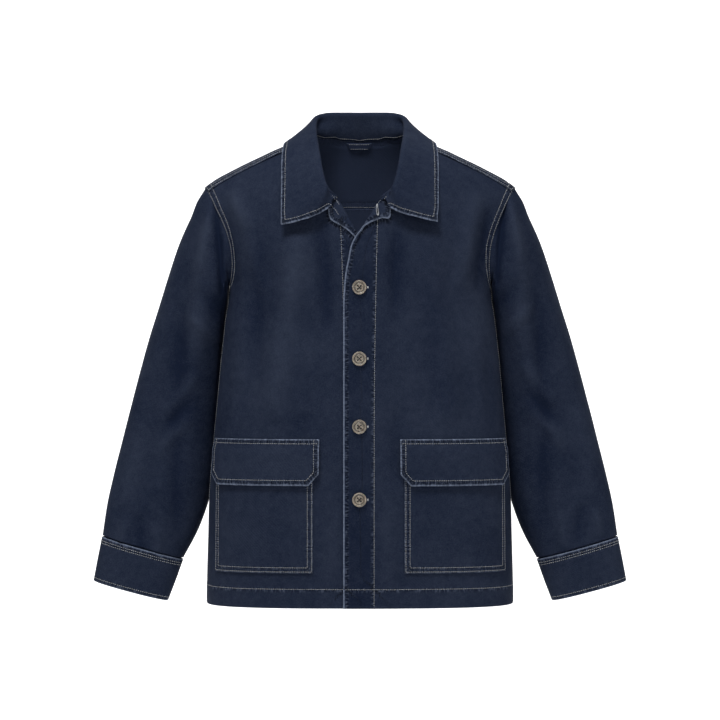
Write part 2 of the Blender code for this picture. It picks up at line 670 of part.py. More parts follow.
def collar_edge(share):
    """Point on the body's form below the leaf's outer edge."""
    x, turn = (lookup(COLLAR_EDGE, column, share) for column in (1, 2))
    height = SHOULDER_ARC * math.radians(turn)
    half, _, _, power = body_size(min(height, SHOULDER_ARC * math.pi - height))
    angle = math.asin(min(x / half, 1.0) ** (power / 2))
    return over_shoulder(np.interp(angle, GIRTH_ANGLE, GIRTH_SHARE), height)


def collar_half(over):
    """Middle grid of one half of the collar, a column for each place along the neck seam."""
    seam, onward = neck_seam(over)
    steps = np.concatenate([[0.0], np.cumsum(np.linalg.norm(np.diff(seam, axis=0), axis=1))])
    length = steps[-1]
    steps /= length
    columns = []
    shares = [0.0]
    for start, end in zip(steps[:-1], steps[1:]):
        parts = max(1, round((end - start) * length / COLLAR_STEP))
        shares += [start + (end - start) * part / parts for part in range(1, parts + 1)]
    for share in shares:
        base = np.array([np.interp(share, steps, seam[:, k]) for k in range(3)])
        way = unit(np.array([np.interp(share, steps, onward[:, k]) for k in range(3)]))
        end = smooth(share, 0.93, 1.0)
        base = base + way * 3 * SEAM_GAP + COLLAR_END_SHIFT * end
        crest = np.array([lookup(COLLAR_ROLL, k, share) for k in (1, 2, 3)])
        ahead = np.array([lookup(COLLAR_ROLL, k, min(share + 0.02, 1.0)) for k in (1, 2, 3)])
        behind = np.array([lookup(COLLAR_ROLL, k, max(share - 0.02, 0.0)) for k in (1, 2, 3)])
        radius = lookup(COLLAR_ROLL, 4, share)
        edge = above_body(collar_edge(share), COLLAR_REST)
        up = unit(crest - edge)
        run = unit(ahead - behind)
        up = unit(up - run * float(np.dot(up, run)))
        out = np.cross(up, run)
        if np.dot(out, edge - np.array([0.0, SHOULDER_Y, ARMPIT_Z])) < 0:
            out = -out
        centre = crest - up * radius
        arc = [centre + (up * math.sin(t) - out * math.cos(t)) * radius
               for t in np.linspace(0.0, math.pi, 5)]
        reach = np.linalg.norm(arc[0] - base)
        pull = base + way * 0.45 * reach
        push = arc[0] - up * 0.35 * reach
        stand = [(1 - t) ** 3 * base + 3 * (1 - t) ** 2 * t * pull + 3 * (1 - t) * t ** 2 * push
                 + t ** 3 * arc[0] for t in (0.0, 0.33, 0.66)]
        leaf = [above_body(arc[-1] + t * (edge - arc[-1]), COLLAR_REST)
                for t in (0.2, 0.4, 0.6, 0.8, 1.0)]
        profile = stand + arc + leaf
        corner = base + COLLAR_CORNER
        front = [base, corner, edge]
        open_end = [along(front, t) for t in np.linspace(0.0, 1.0, len(profile))]
        columns.append([(1 - end) * a + end * b for a, b in zip(profile, open_end)])
    return np.array(columns)


left_half, right_half = collar_half(True), mirrored(collar_half(False))
wall("collar", np.concatenate([right_half[:0:-1], left_half]), DOUBLE)


# ---------------------------------------------------------------- pockets and flaps
LAYER = CLOTH + 0.0008    # from the middle of one layer to the middle of the next
# inner edge, outer edge, top, bottom of a pocket on the wearer's left and right front
POCKETS = {"left": (0.0665, 0.2172, -0.4530, -0.6375), "right": (0.0705, 0.2160, -0.4530, -0.6375)}
FLAPS = {"left": (0.0602, 0.2195, -0.4400, -0.5080), "right": (0.0612, 0.2190, -0.4400, -0.5075)}
FLAP_CORNER_WIDE, FLAP_CORNER_HIGH = 0.0125, 0.0165


def patch_on_front(over, sizes, columns, rows, rest, corner=False):
    """Grid of a panel that lies on a front; rest is its height above it at a place."""
    inner, outer, top, bottom = sizes
    grid = []
    for v in rows:
        line = []
        for u in columns:
            foot = bottom
            if corner:
                side = min(u, 1 - u) * (outer - inner)
                foot += FLAP_CORNER_HIGH * max(0.0, 1 - side / FLAP_CORNER_WIDE)
            z = top + v * (foot - top)
            start, end = pattern_place(inner, z), pattern_place(outer, z)
            line.append(front_point(over, *(start + u * (end - start)), extra=rest(u, v)))
        grid.append(line)
    return np.array(grid)


def pocket_rest(u, v):
    """A patch pocket lies close at its seams and stands out a little between them."""
    return LAYER + 0.0014 * math.sin(math.pi * u) ** 0.5 * math.sin(math.pi * min(v, 0.98)) ** 0.5


def flap_rest(u, v):
    """A flap is sewn on above the pocket and hangs over its mouth."""
    return LAYER + 0.0008 + (LAYER + 0.0016) * smooth(v, 0.0, 0.35)


pocket_columns = np.array([0.0, 0.06, 0.2, 0.34, 0.48, 0.60, 0.70, 0.79, 0.87, 0.94, 1.0])
flap_columns = np.array([0.0, 0.04, 0.079, 0.22, 0.36, 0.49, 0.60, 0.70, 0.79, 0.86, 0.921, 0.96, 1.0])
for side in ("left", "right"):
    over = side == "left"
    pocket = patch_on_front(over, POCKETS[side], pocket_columns, np.linspace(0, 1, 8), pocket_rest)
    flap = patch_on_front(over, FLAPS[side], flap_columns, np.linspace(0, 1, 6), flap_rest, True)
    if not over:
        pocket, flap = mirrored(pocket), mirrored(flap)
    wall("pocket_" + side, pocket, CLOTH)
    wall("flap_" + side, flap, DOUBLE)


# ---------------------------------------------------------------- buttons
BUTTON_HEIGHTS = (-0.2134, -0.3195, -0.4205, -0.5288)
BUTTON_X = -0.0010
# a button's turned profile: radius, height above the cloth
BUTTON_PROFILE = [
    (0.0000, 0.0010), (0.0078, 0.0010), (0.0100, 0.0018), (0.0107, 0.0028), (0.0103, 0.0037),
    (0.0093, 0.0041), (0.0081, 0.0037), (0.0070, 0.0031), (0.0000, 0.0030),
]
BUTTON_SIDES = 20
HORN = (0.36, 0.33, 0.29)


def button(name, z):
    spot = pattern_place(BUTTON_X, z)
    middle = front_point(True, *spot)
    normal = unit(front_point(True, *spot, extra=0.001) - middle)
    across = unit(np.cross(normal, [0.0, 0.0, 1.0]))
    up = np.cross(across, normal)
    rings = BUTTON_PROFILE[1:-1]
    points = [middle + normal * (CLOTH / 2 + BUTTON_PROFILE[0][1]),
              middle + normal * (CLOTH / 2 + BUTTON_PROFILE[-1][1])]
    for radius, height in rings:
        for k in range(BUTTON_SIDES):
            angle = 2 * math.pi * k / BUTTON_SIDES
            points.append(middle + normal * (CLOTH / 2 + height)
                          + (across * math.cos(angle) + up * math.sin(angle)) * radius)
    faces = []
    for k in range(BUTTON_SIDES):
        after = (k + 1) % BUTTON_SIDES
        faces.append((0, 2 + k, 2 + after))
        for r in range(len(rings) - 1):
            a, b = 2 + r * BUTTON_SIDES, 2 + (r + 1) * BUTTON_SIDES
            faces.append((a + k, b + k, b + after, a + after))
        last = 2 + (len(rings) - 1) * BUTTON_SIDES
        faces.append((1, last + after, last + k))
    add_object(name, points, faces, HORN, 0.35)


for number, height in enumerate(BUTTON_HEIGHTS, 1):
    button("button_%d" % number, height)


# ---------------------------------------------------------------- hanger loop
LOOP_TOP_HALF, LOOP_FOOT_HALF = 0.0195, 0.0155
LOOP_TOP_Z, LOOP_FOOT_Z = 0.0165, 0.0070
loop = []
for v in np.linspace(0.0, 1.0, 4):
    z = LOOP_TOP_Z + v * (LOOP_FOOT_Z - LOOP_TOP_Z)
    half = LOOP_TOP_HALF + v * (LOOP_FOOT_HALF - LOOP_TOP_HALF)
    line = []
    for u in np.linspace(-1.0, 1.0, 9):
        spot = pattern_place(u * half - 0.0015, z)
        here = body(1, *spot)
        normal = unit(np.cross(body(1, *(spot + [0, 1e-4])) - here, body(1, *(spot + [1e-4, 0])) - here))
        if normal[1] > 0:
            normal = -normal
        line.append(here + normal * (LAYER + 0.0004 + 0.0012 * (1 - u * u)))
    loop.append(line)
wall("hanger_loop", np.array(loop), 0.0012)
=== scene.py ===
"""Chore jacket in washed navy cotton twill, dressed on its frame and set in a plain studio.

Metres throughout, +Z up, +X to the wearer's left, the front faces -Y.  The origin is the middle of
the neck opening at the height of the neck ends of the shoulder seams.
"""
import math

import bpy
import numpy as np
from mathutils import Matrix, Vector
from mathutils.kdtree import KDTree


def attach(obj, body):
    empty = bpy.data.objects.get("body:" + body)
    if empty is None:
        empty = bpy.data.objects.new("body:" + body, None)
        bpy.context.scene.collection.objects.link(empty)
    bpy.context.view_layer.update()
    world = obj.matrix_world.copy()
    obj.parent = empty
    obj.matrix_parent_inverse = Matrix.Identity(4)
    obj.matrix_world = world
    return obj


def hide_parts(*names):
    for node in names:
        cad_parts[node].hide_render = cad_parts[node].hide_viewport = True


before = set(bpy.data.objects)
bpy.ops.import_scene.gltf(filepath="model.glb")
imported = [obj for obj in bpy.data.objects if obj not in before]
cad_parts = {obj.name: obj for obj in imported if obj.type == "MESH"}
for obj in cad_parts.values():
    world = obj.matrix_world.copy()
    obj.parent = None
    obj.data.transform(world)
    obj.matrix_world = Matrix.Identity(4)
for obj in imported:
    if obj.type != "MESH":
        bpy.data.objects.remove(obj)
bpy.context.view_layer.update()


# ==================================================================== studio
# A white cyclorama: a painted floor that sweeps up into a wall, matte, with large diffused lamps
# in front of it.  The jacket stands in the air above the floor, where a wearer would hold it.
FLOOR_Z = -1.02
FLOOR_HALF_WIDTH = 6.0
FLOOR_FRONT_Y = -7.0
WALL_Y = 6.0
WALL_TOP_Z = 5.0
SWEEP_RADIUS = 1.2
SWEEP_STEPS = 16
WALL_WHITE = "#f4f4f4"
WORLD_WHITE = "#ffffff"
WORLD_STRENGTH = 0.14
WALL_GLOW = 0.95          # the wall and the far floor are lit from behind, so that they stay white
GLOW_Y = (0.2, 0.9)       # where on the floor that light begins and is full

CAMERA_PLACE = (0.0, -4.0, -0.3213)
CAMERA_LENS = 130.7       # millimetres, on a sensor 36 mm wide
LAMP_AIM = (0.0, 0.0, -0.32)   # the jacket's middle
# lamps: place, width and height of the diffuser, watts
SOFTBOXES = {
    "key": ((-0.6, -1.9, 2.7), 1.1, 0.9, 50.0),
    "fill": ((1.8, -3.4, 0.3), 2.0, 2.0, 9.0),
    "top": ((0.2, -0.9, 2.6), 1.6, 1.2, 7.0),
    "back": ((0.0, 2.2, 2.8), 3.0, 1.6, 9.0),
}


def linear(hex_colour):
    """sRGB hex value as linear red, green, blue and alpha."""
    shares = [int(hex_colour[k:k + 2], 16) / 255 for k in (1, 3, 5)]
    curve = [s / 12.92 if s <= 0.04045 else ((s + 0.055) / 1.055) ** 2.4 for s in shares]
    return (*curve, 1.0)


def add_node(tree, kind, inputs=None, output=0, **settings):
    """Adds a shader node and returns one of its outputs.  An input is a value, or the output of
    another node, which is linked to it."""
    node = tree.nodes.new("ShaderNode" + kind)
    for name, value in settings.items():
        setattr(node, name, value)
    for name, value in (inputs or {}).items():
        if isinstance(value, bpy.types.NodeSocket):
            tree.links.new(value, node.inputs[name])
        else:
            node.inputs[name].default_value = value
    return node.outputs[output]


def new_material(name):
    """A material with an empty node tree and its output."""
    material = bpy.data.materials.new(name)
    material.use_nodes = True
    tree = material.node_tree
    tree.nodes.clear()
    return material, tree, tree.nodes.new("ShaderNodeOutputMaterial")


def add_object(name, data):
    """An object in the scene for a mesh, a lamp or a camera."""
    item = bpy.data.objects.new(name, data)
    bpy.context.collection.objects.link(item)
    return item


def wall_paint():
    """Matte white emulsion, rolled on: no gloss, barely any grain."""
    material, tree, output = new_material("matte_white_paint")
    grain = add_node(tree, "TexNoise", {"Scale": 40.0, "Detail": 3.0})
    bump = add_node(tree, "Bump", {"Height": grain, "Distance": 0.0004, "Strength": 0.2})
    place = add_node(tree, "SeparateXYZ", {"Vector": add_node(tree, "NewGeometry")}, "Y")
    glow = add_node(tree, "MapRange", {"Value": place, "From Min": GLOW_Y[0], "From Max": GLOW_Y[1],
                                       "To Min": 0.0, "To Max": WALL_GLOW})
    shader = add_node(tree, "BsdfPrincipled", {
        "Base Color": linear(WALL_WHITE), "Roughness": 0.9, "Normal": bump,
        "Emission Color": linear(WORLD_WHITE), "Emission Strength": glow})
    tree.links.new(shader, output.inputs["Surface"])
    return material


profile = [(FLOOR_FRONT_Y, FLOOR_Z)]
for step in range(SWEEP_STEPS + 1):
    turn = math.pi / 2 * step / SWEEP_STEPS
    profile.append((WALL_Y - SWEEP_RADIUS + SWEEP_RADIUS * math.sin(turn),
                    FLOOR_Z + SWEEP_RADIUS * (1 - math.cos(turn))))
profile.append((WALL_Y, WALL_TOP_Z))
backdrop_mesh = bpy.data.meshes.new("backdrop")
backdrop_mesh.from_pydata(
    [(x, y, z) for y, z in profile for x in (-FLOOR_HALF_WIDTH, FLOOR_HALF_WIDTH)], [],
    [(2 * k, 2 * k + 1, 2 * k + 3, 2 * k + 2) for k in range(len(profile) - 1)])
backdrop_mesh.materials.append(wall_paint())
backdrop_mesh.shade_smooth()
add_object("backdrop", backdrop_mesh)

world = bpy.data.worlds.new("studio")
bpy.context.scene.world = world
world.use_nodes = True
world.node_tree.nodes["Background"].inputs["Color"].default_value = linear(WORLD_WHITE)
world.node_tree.nodes["Background"].inputs["Strength"].default_value = WORLD_STRENGTH
bpy.context.scene.view_settings.view_transform = "Standard"

for name, (place, width, height, watts) in SOFTBOXES.items():
    lamp = bpy.data.lights.new(name, "AREA")
    lamp.shape = "RECTANGLE"
    lamp.size, lamp.size_y, lamp.energy = width, height, watts
    softbox = add_object(name, lamp)
    softbox.location = place
    aim = Vector(LAMP_AIM) - Vector(place)
    softbox.rotation_euler = aim.to_track_quat("-Z", "Y").to_euler()

camera = add_object("camera", bpy.data.cameras.new("camera"))
camera.location = CAMERA_PLACE
camera.rotation_euler = (math.pi / 2, 0.0, 0.0)
camera.data.lens = CAMERA_LENS
bpy.context.scene.camera = camera


# ==================================================================== fronts
# Two fronts of heavy cotton twill, left over right, each cut in one with its turned-back placket
# and small lapel, hemmed at the foot and felled to the yoke, back and sleeves with two rows.
CLOTH = 0.0015            # wall of one layer of cloth with its turned-in edges
SEAM_GAP = 0.0004         # between two pieces that a seam joins
ARMPIT_Z = -0.2066        # level of the armholes' lowest point
HEM_Z = -0.690
SHOULDER_Y = 0.005        # the shoulder ridge lies a little behind the neck's middle
SHOULDER_SEAM_TURN = math.radians(77)   # how far the front goes round the shoulder to its seam
SHOULDER_ARC = 0.19       # pattern height for one radian of that turn
UPPER_ROUND = 2.2         # exponent of the shoulder's vertical curve
UPPER_SECTION = 2.5       # exponent of the plan section above the armpit
UPPER_GROWTH = 0.054      # the section widens this much from armpit to shoulder tip
UPPER_GROWTH_POWER = 1.3

# plan sections of the body: height, half width, depth in front, depth behind, exponent
BODY_SECTIONS = [
    (-0.6900, 0.2320, 0.120, 0.108, 2.9),
    (-0.6000, 0.2300, 0.119, 0.107, 2.9),
    (-0.5200, 0.2280, 0.118, 0.106, 2.8),
    (-0.4440, 0.2220, 0.117, 0.105, 2.8),
    (-0.3825, 0.2165, 0.117, 0.104, 2.7),
    (-0.3210, 0.2110, 0.116, 0.103, 2.6),
    (-0.2600, 0.2040, 0.115, 0.103, 2.5),
    (-0.2295, 0.1992, 0.115, 0.103, 2.5),
    (-0.2066, 0.1980, 0.115, 0.103, 2.5),
]
# shoulder ridge: distance from the middle, height
SHOULDER_RIDGE = [
    (0.000, 0.0770), (0.030, 0.0660), (0.055, 0.0400), (0.079, 0.0195), (0.100, 0.0115),
    (0.1216, 0.0030), (0.1476, -0.0090), (0.1737, -0.0212), (0.1980, -0.0335), (0.2210, -0.0460),
    (0.2360, -0.0575), (0.2500, -0.0690),
]
# armhole seam: height, distance from the middle in front, and behind
ARMHOLE = [
    (-0.2066, 0.1980, 0.1980), (-0.1956, 0.1962, 0.1975), (-0.1805, 0.1954, 0.1985),
    (-0.1495, 0.1982, 0.2025), (-0.1209, 0.2060, 0.2095), (-0.0943, 0.2170, 0.2190),
    (-0.0600, 0.2347, 0.2347),
]
NECK_POINT_X = 0.079      # neck end of the shoulder seam
# neckline of a front, from the lapel's roll to the shoulder seam: distance, height
FRONT_NECKLINE = [
    (0.0326, -0.0867), (0.0460, -0.0760), (0.0580, -0.0560), (0.0680, -0.0260), (0.0755, 0.0000),
    (0.0790, 0.0150),
]
YOKE_SEAM_Z = -0.085


def smooth(value, low, high):
    """0 below low, 1 above high, an even rise between."""
    t = min(max((value - low) / (high - low), 0.0), 1.0)
    return t * t * (3.0 - 2.0 * t)


def cubic(t, width, start, end, start_slope, end_slope):
    """Cubic piece between two values with slopes, at a share of its width."""
    return ((2 * t ** 3 - 3 * t ** 2 + 1) * start + (t ** 3 - 2 * t ** 2 + t) * width * start_slope
            + (3 * t ** 2 - 2 * t ** 3) * end + (t ** 3 - t ** 2) * width * end_slope)


def lookup(table, column, at):
    """Smooth reading of a table's column at a value of its first column."""
    keys = [row[0] for row in table]
    values = [row[column] for row in table]
    if keys[0] > keys[-1]:
        keys.reverse()
        values.reverse()
    at = min(max(at, keys[0]), keys[-1])
    i = min(max(int(np.searchsorted(keys, at)) - 1, 0), len(keys) - 2)
    slopes = []
    for k in (i, i + 1):
        before, after = max(k - 1, 0), min(k + 1, len(keys) - 1)
        slopes.append((values[after] - values[before]) / (keys[after] - keys[before]))
    width = keys[i + 1] - keys[i]
    return cubic((at - keys[i]) / width, width, values[i], values[i + 1], *slopes)


def lengths_along(points):
    """Length of a line through points, up to each of them."""
    return np.concatenate([[0.0], np.cumsum(np.linalg.norm(np.diff(points, axis=0), axis=1))])


def read_at(points, length, at):
    """Points of a line where its length has some value or values."""
    return np.stack([np.interp(at, length, column) for column in points.T], axis=-1)


def along(points, share):
    """Point at a share of the length of a line through points."""
    points = np.asarray(points, dtype=float)
    length = lengths_along(points)
    return read_at(points, length, share * length[-1])


def unit(vector):
    return vector / max(np.linalg.norm(vector), 1e-12)


TYPICAL_SECTION, TYPICAL_DEPTH = 2.6, 0.55   # its exponent, and its depth for a half width of 1


def unit_rows(vectors):
    return vectors / np.linalg.norm(vectors, axis=1, keepdims=True)


def even_girth():
    """Section angle against share of the quarter girth, for a typical section."""
    angle = np.linspace(0.0, math.pi / 2, 241)
    x = np.sin(angle) ** (2 / TYPICAL_SECTION)
    y = TYPICAL_DEPTH * np.cos(angle) ** (2 / TYPICAL_SECTION)
    length = np.concatenate([[0.0], np.cumsum(np.hypot(np.diff(x), np.diff(y)))])
    return length / length[-1], angle


GIRTH_SHARE, GIRTH_ANGLE = even_girth()


def body_size(height):
    """Half width, front depth, back depth and exponent of the body at a pattern height."""
    z = ARMPIT_Z + min(height, 0.0)
    size = [lookup(BODY_SECTIONS, column, z) for column in (1, 2, 3, 4)]
    if height > 0.0:
        rise = math.sin(min(height / SHOULDER_ARC, math.pi / 2))
        size[0] += UPPER_GROWTH * rise ** UPPER_GROWTH_POWER
        size[3] = UPPER_SECTION
    return size


def body(side, girth, height):
    """Point of the cloth's middle surface.

    side is -1 in front and 1 behind, girth runs from 0 at the middle to 1 at the side seam, and
    height is measured on the pattern from the armpit's level.
    """
    half, front, back, power = body_size(height)
    depth = front if side < 0 else back
    angle = np.interp(abs(girth), GIRTH_SHARE, GIRTH_ANGLE)
    x = math.copysign(half * math.sin(angle) ** (2 / power), girth)
    reach = depth * max(math.cos(angle), 0.0) ** (2 / power)
    if height <= 0.0:
        return np.array([x, side * reach, ARMPIT_Z + height])
    turn = min(height / SHOULDER_ARC, math.pi / 2)
    ridge = lookup(SHOULDER_RIDGE, 1, abs(x))
    fall = max(math.cos(turn), 0.0) ** (2 / UPPER_ROUND)
    lift = math.sin(turn) ** (2 / UPPER_ROUND)
    z = ARMPIT_Z + (ridge - ARMPIT_Z) * lift
    return np.array([x, SHOULDER_Y * (1 - fall) + side * reach * fall, z])


def girth_at(x, height):
    """Share of the quarter girth at a distance from the middle and a pattern height."""
    half, _, _, power = body_size(height)
    angle = math.asin(min(abs(x) / half, 1.0) ** (power / 2))
    return math.copysign(np.interp(angle, GIRTH_ANGLE, GIRTH_SHARE), x)


def pattern_place(x, z):
    """Girth and pattern height of the point that a straight look along Y finds at x and z."""
    if z <= ARMPIT_Z:
        height = z - ARMPIT_Z
    else:
        lift = (z - ARMPIT_Z) / (lookup(SHOULDER_RIDGE, 1, abs(x)) - ARMPIT_Z)
        height = SHOULDER_ARC * math.asin(min(lift, 1.0) ** (UPPER_ROUND / 2))
    return np.array([girth_at(x, height), height])


def grid_normals(grid, ring):
    """Unit normals of a grid of points; ring says that its columns close round a tube."""
    if ring:
        across = np.roll(grid, -1, axis=1) - np.roll(grid, 1, axis=1)
    else:
        across = np.gradient(grid, axis=1)
    up = np.gradient(grid, axis=0)
    normals = np.cross(across, up)
    return normals / np.maximum(np.linalg.norm(normals, axis=2, keepdims=True), 1e-12)


def blend_patch(left, right, bottom, top, rows, columns):
    """Coons patch: four sides as functions of a share, rows and columns as shares of the way."""
    corner = [[left(0.0), right(0.0)], [left(1.0), right(1.0)]]
    grid = []
    for v in rows:
        line = []
        for u in columns:
            line.append((1 - u) * left(v) + u * right(v) + (1 - v) * bottom(u) + v * top(u)
                        - (1 - u) * (1 - v) * corner[0][0] - u * (1 - v) * corner[0][1]
                        - (1 - u) * v * corner[1][0] - u * v * corner[1][1])
        grid.append(line)
    return np.array(grid)


def twill(name, base, worn, painted_shade_colour, strength=1.0):
    """Cotton twill, woven in a 2/1 diagonal, garment-dyed and washed: no gloss, a soft bloom of
    fibres, cloudy colour, and paler wear where a seam stands proud. Its colour also holds painted
    light: painted shade in sunk puckers and in the groove of each row of stitches, and the painted
    highlights and painted shade of its per-point fade field."""
    material, tree, output = new_material(name)
    place = add_node(tree, "TexCoord", output="Object")
    chart = add_node(tree, "UVMap", uv_map="cloth")
    edge, row, run, fade_and_painted_light = [add_node(tree, "Attribute", output="Fac", attribute_name=field)
                            for field in ("edge", "row", "run", "fade_and_painted_light")]

    # puckers: streaks across a row of stitches, about PUCKER_PITCH apart along it, mostly on the
    # side towards the edge, where the cloth is turned in
    row_away = add_node(tree, "Math", {0: row}, operation="ABSOLUTE")
    run_steps = add_node(tree, "Math", {0: run, 1: PUCKER_PITCH}, operation="DIVIDE")
    row_steps = add_node(tree, "Math", {0: row, 1: PUCKER_REACH}, operation="DIVIDE")
    streak_place = add_node(tree, "CombineXYZ", {"X": run_steps, "Y": row_steps})
    streak, broken, cloud, mottle, grain = [
        add_node(tree, "TexNoise", {"Vector": where, "Scale": scale, "Detail": detail,
                                    "Roughness": roughness})
        for where, scale, detail, roughness in (
            (streak_place, 1.0, 0.4, 0.5), (streak_place, 1.7, 3.0, 0.7), (place, 11.0, 4.0, 0.55),
            (place, 95.0, 5.0, 0.65), (place, GRAIN_PER_METRE, 2.0, 0.6))]
    signed = add_node(tree, "MapRange", {"Value": streak, "From Min": 0.36, "From Max": 0.64,
                                         "To Min": -1.0, "To Max": 1.0})
    near = add_node(tree, "MapRange", {"Value": row_away, "From Min": 0.0, "From Max": PUCKER_REACH,
                                       "To Min": 1.0, "To Max": 0.0}, interpolation_type="SMOOTHSTEP")
    edgeward = add_node(tree, "MapRange", {"Value": row, "From Min": 0.0002, "From Max": 0.0024,
                                           "To Min": 1.0, "To Max": 0.12})
    near = add_node(tree, "Math", {0: near, 1: edgeward}, operation="MULTIPLY")
    pucker = add_node(tree, "Math", {0: near, 1: signed}, operation="MULTIPLY")
    groove = add_node(tree, "MapRange", {"Value": row_away, "From Min": 0.0, "From Max": 0.0015,
                                         "To Min": 1.0, "To Max": 0.0}, interpolation_type="SMOOTHSTEP")

    # wear and painted light: a broken pale line on the very edge, paler puckers and faint cloudy bleaching,
    # with the painted highlights and painted shade that the per-point fade field brings from creases,
    # placket and sleeves
    rim = add_node(tree, "MapRange", {"Value": edge, "From Min": 0.0002, "From Max": 0.0018,
                                      "To Min": 1.0, "To Max": 0.0}, interpolation_type="SMOOTHSTEP")
    rim_share = add_node(tree, "MapRange", {"Value": broken, "From Min": 0.34, "From Max": 0.62,
                                            "To Min": 0.45 * strength, "To Max": 0.85 * strength})
    raised = add_node(tree, "Math", {0: pucker, 1: 0.0}, operation="MAXIMUM")
    wear_and_painted_light = add_node(tree, "Math", {0: rim, 1: rim_share}, operation="MULTIPLY")
    for field, share, middle in ((raised, 0.25 * strength, 0.0), (fade_and_painted_light, 0.06, 0.0),
                                 (cloud, 0.11, 0.5), (mottle, 0.09, 0.5), (grain, 0.15, 0.5)):
        centred = add_node(tree, "Math", {0: field, 1: middle}, operation="SUBTRACT")
        wear_and_painted_light = add_node(tree, "Math", {0: centred, 1: share, 2: wear_and_painted_light}, operation="MULTIPLY_ADD")
    wear_and_painted_light = add_node(tree, "Math", {0: wear_and_painted_light, 1: 0.06}, operation="ADD", use_clamp=True)
    # painted shade: the sunk side of each pucker and the groove along a row of stitches are mixed towards
    # the dark colour, as the shade that falls in them
    sunk = add_node(tree, "Math", {0: pucker, 1: 0.0}, operation="MINIMUM")
    painted_shade = add_node(tree, "Math", {0: sunk, 1: -0.46 * strength}, operation="MULTIPLY")
    painted_shade = add_node(tree, "Math", {0: groove, 1: 0.30 * strength, 2: painted_shade}, operation="MULTIPLY_ADD",
                     use_clamp=True)
    pale = add_node(tree, "Mix", {"Factor": wear_and_painted_light, 6: linear(base), 7: linear(worn)}, 2,
                    data_type="RGBA")
    colour = add_node(tree, "Mix", {"Factor": painted_shade, 6: pale, 7: linear(painted_shade_colour)}, 2, data_type="RGBA")

    # relief: the twill's diagonal ribs, fibres, puckers and the groove a row of stitches sinks into
    ribs = add_node(tree, "TexWave", {"Vector": chart, "Scale": RIBS_PER_METRE, "Distortion": 1.5,
                                      "Detail": 2.0, "Detail Scale": 2.0}, "Fac",
                    wave_type="BANDS", bands_direction="DIAGONAL")
    relief = add_node(tree, "Math", {0: ribs, 1: 0.10}, operation="MULTIPLY")
    for field, height in ((grain, 0.22), (mottle, 0.20), (pucker, 0.9 * strength),
                          (groove, -0.45 * strength)):
        relief = add_node(tree, "Math", {0: field, 1: height, 2: relief}, operation="MULTIPLY_ADD")
    bump = add_node(tree, "Bump", {"Height": relief, "Distance": 0.001, "Strength": 0.8})
    shader = add_node(tree, "BsdfPrincipled", {
        "Base Color": colour, "Roughness": 0.88, "IOR": 1.5, "Specular IOR Level": 0.12,
        "Sheen Weight": 0.03, "Sheen Roughness": 0.45, "Sheen Tint": linear("#8fa0c4"),
        "Normal": bump})
    tree.links.new(shader, output.inputs["Surface"])
    return material


PUCKER_PITCH = 0.0026     # size of the noise along a row; it puckers about every 5 mm
PUCKER_REACH = 0.0068     # how far puckers reach to each side of a row of stitches
GRAIN_PER_METRE = 620.0   # slubs about 1.6 mm long; finer ones would not show
RIBS_PER_METRE = 160.0    # twill ribs, drawn near 1.5 mm apart; real ones are 0.6 mm
# the third colour of each twill is the painted shade of sunk puckers and stitch grooves
NAVY_TWILL = twill("washed_navy_cotton_twill", "#1a253d", "#96a3be", "#090d17")
# painted light: the inside cloth is the same navy twill painted lighter, standing in for light that reaches
# the inside
INSIDE_TWILL_PAINTED_LIGHT = twill("navy_cotton_twill_inside_painted_light", "#3a4560", "#6c778f", "#121724", 0.25)


def cotton_thread(name, roughness, base, soiled=None):
    """Cotton-wrapped polyester thread: matte, with its twist as a fine bump, and uneven in colour
    where it has picked up some of the cloth's dye."""
    material, tree, output = new_material(name)
    place = add_node(tree, "TexCoord", output="Object")
    tint = linear(base)
    if soiled:
        soil = add_node(tree, "TexNoise", {"Vector": place, "Scale": 60.0, "Detail": 3.0})
        tint = add_node(tree, "Mix", {"Factor": soil, 6: linear(soiled), 7: tint}, 2,
                        data_type="RGBA")
    twist = add_node(tree, "TexNoise", {"Vector": place, "Scale": 2500.0})
    bump = add_node(tree, "Bump", {"Height": twist, "Distance": 0.0002, "Strength": 0.4})
    shader = add_node(tree, "BsdfPrincipled", {"Base Color": tint, "Roughness": roughness,
                                               "Sheen Weight": 0.2, "Normal": bump})
    tree.links.new(shader, output.inputs["Surface"])
    return material


ECRU_THREAD = cotton_thread("ecru_cotton_thread", 0.7, "#f3f4f4", "#c3c8d1")


def denser(steps, times):
    """Steps with each of their gaps split into a number of equal parts."""
    parts = [np.linspace(a, b, times, endpoint=False) for a, b in zip(steps[:-1], steps[1:])]
    return np.concatenate(parts + [steps[-1:]])


def curve_through(grid, places, ring=False):
    """Rows of a grid read at shares of its mean length, by cubic pieces through its points."""
    if ring:
        grid = np.concatenate([grid[-2:], grid, grid[:3]])
    steps = np.linalg.norm(np.diff(grid, axis=0), axis=2).mean(axis=1)
    length = np.concatenate([[0.0], np.cumsum(steps)])
    start, end = (length[2], length[-3]) if ring else (0.0, length[-1])
    slopes = np.gradient(grid, length, axis=0)
    at = start + np.asarray(places) * (end - start)
    i = np.clip(np.searchsorted(length, at) - 1, 0, len(length) - 2)
    width = (length[i + 1] - length[i])[:, None, None]
    t = ((at - length[i]) / (length[i + 1] - length[i]))[:, None, None]
    return cubic(t, width, grid[i], grid[i + 1], slopes[i], slopes[i + 1])


def even_places(length, step, rim):
    """Shares of a length: steps of about step, and half as wide within rim of either end."""
    if rim <= 0.0 or length < 4 * rim:
        return np.linspace(0.0, 1.0, max(3, round(length / step) + 1))
    near = max(2, round(2 * rim / step))
    middle = max(2, round((length - 2 * rim) / step))
    ends = np.linspace(0.0, rim / length, near, endpoint=False)
    return np.concatenate([ends, np.linspace(rim / length, 1 - rim / length, middle),
                           1 - ends[::-1]])


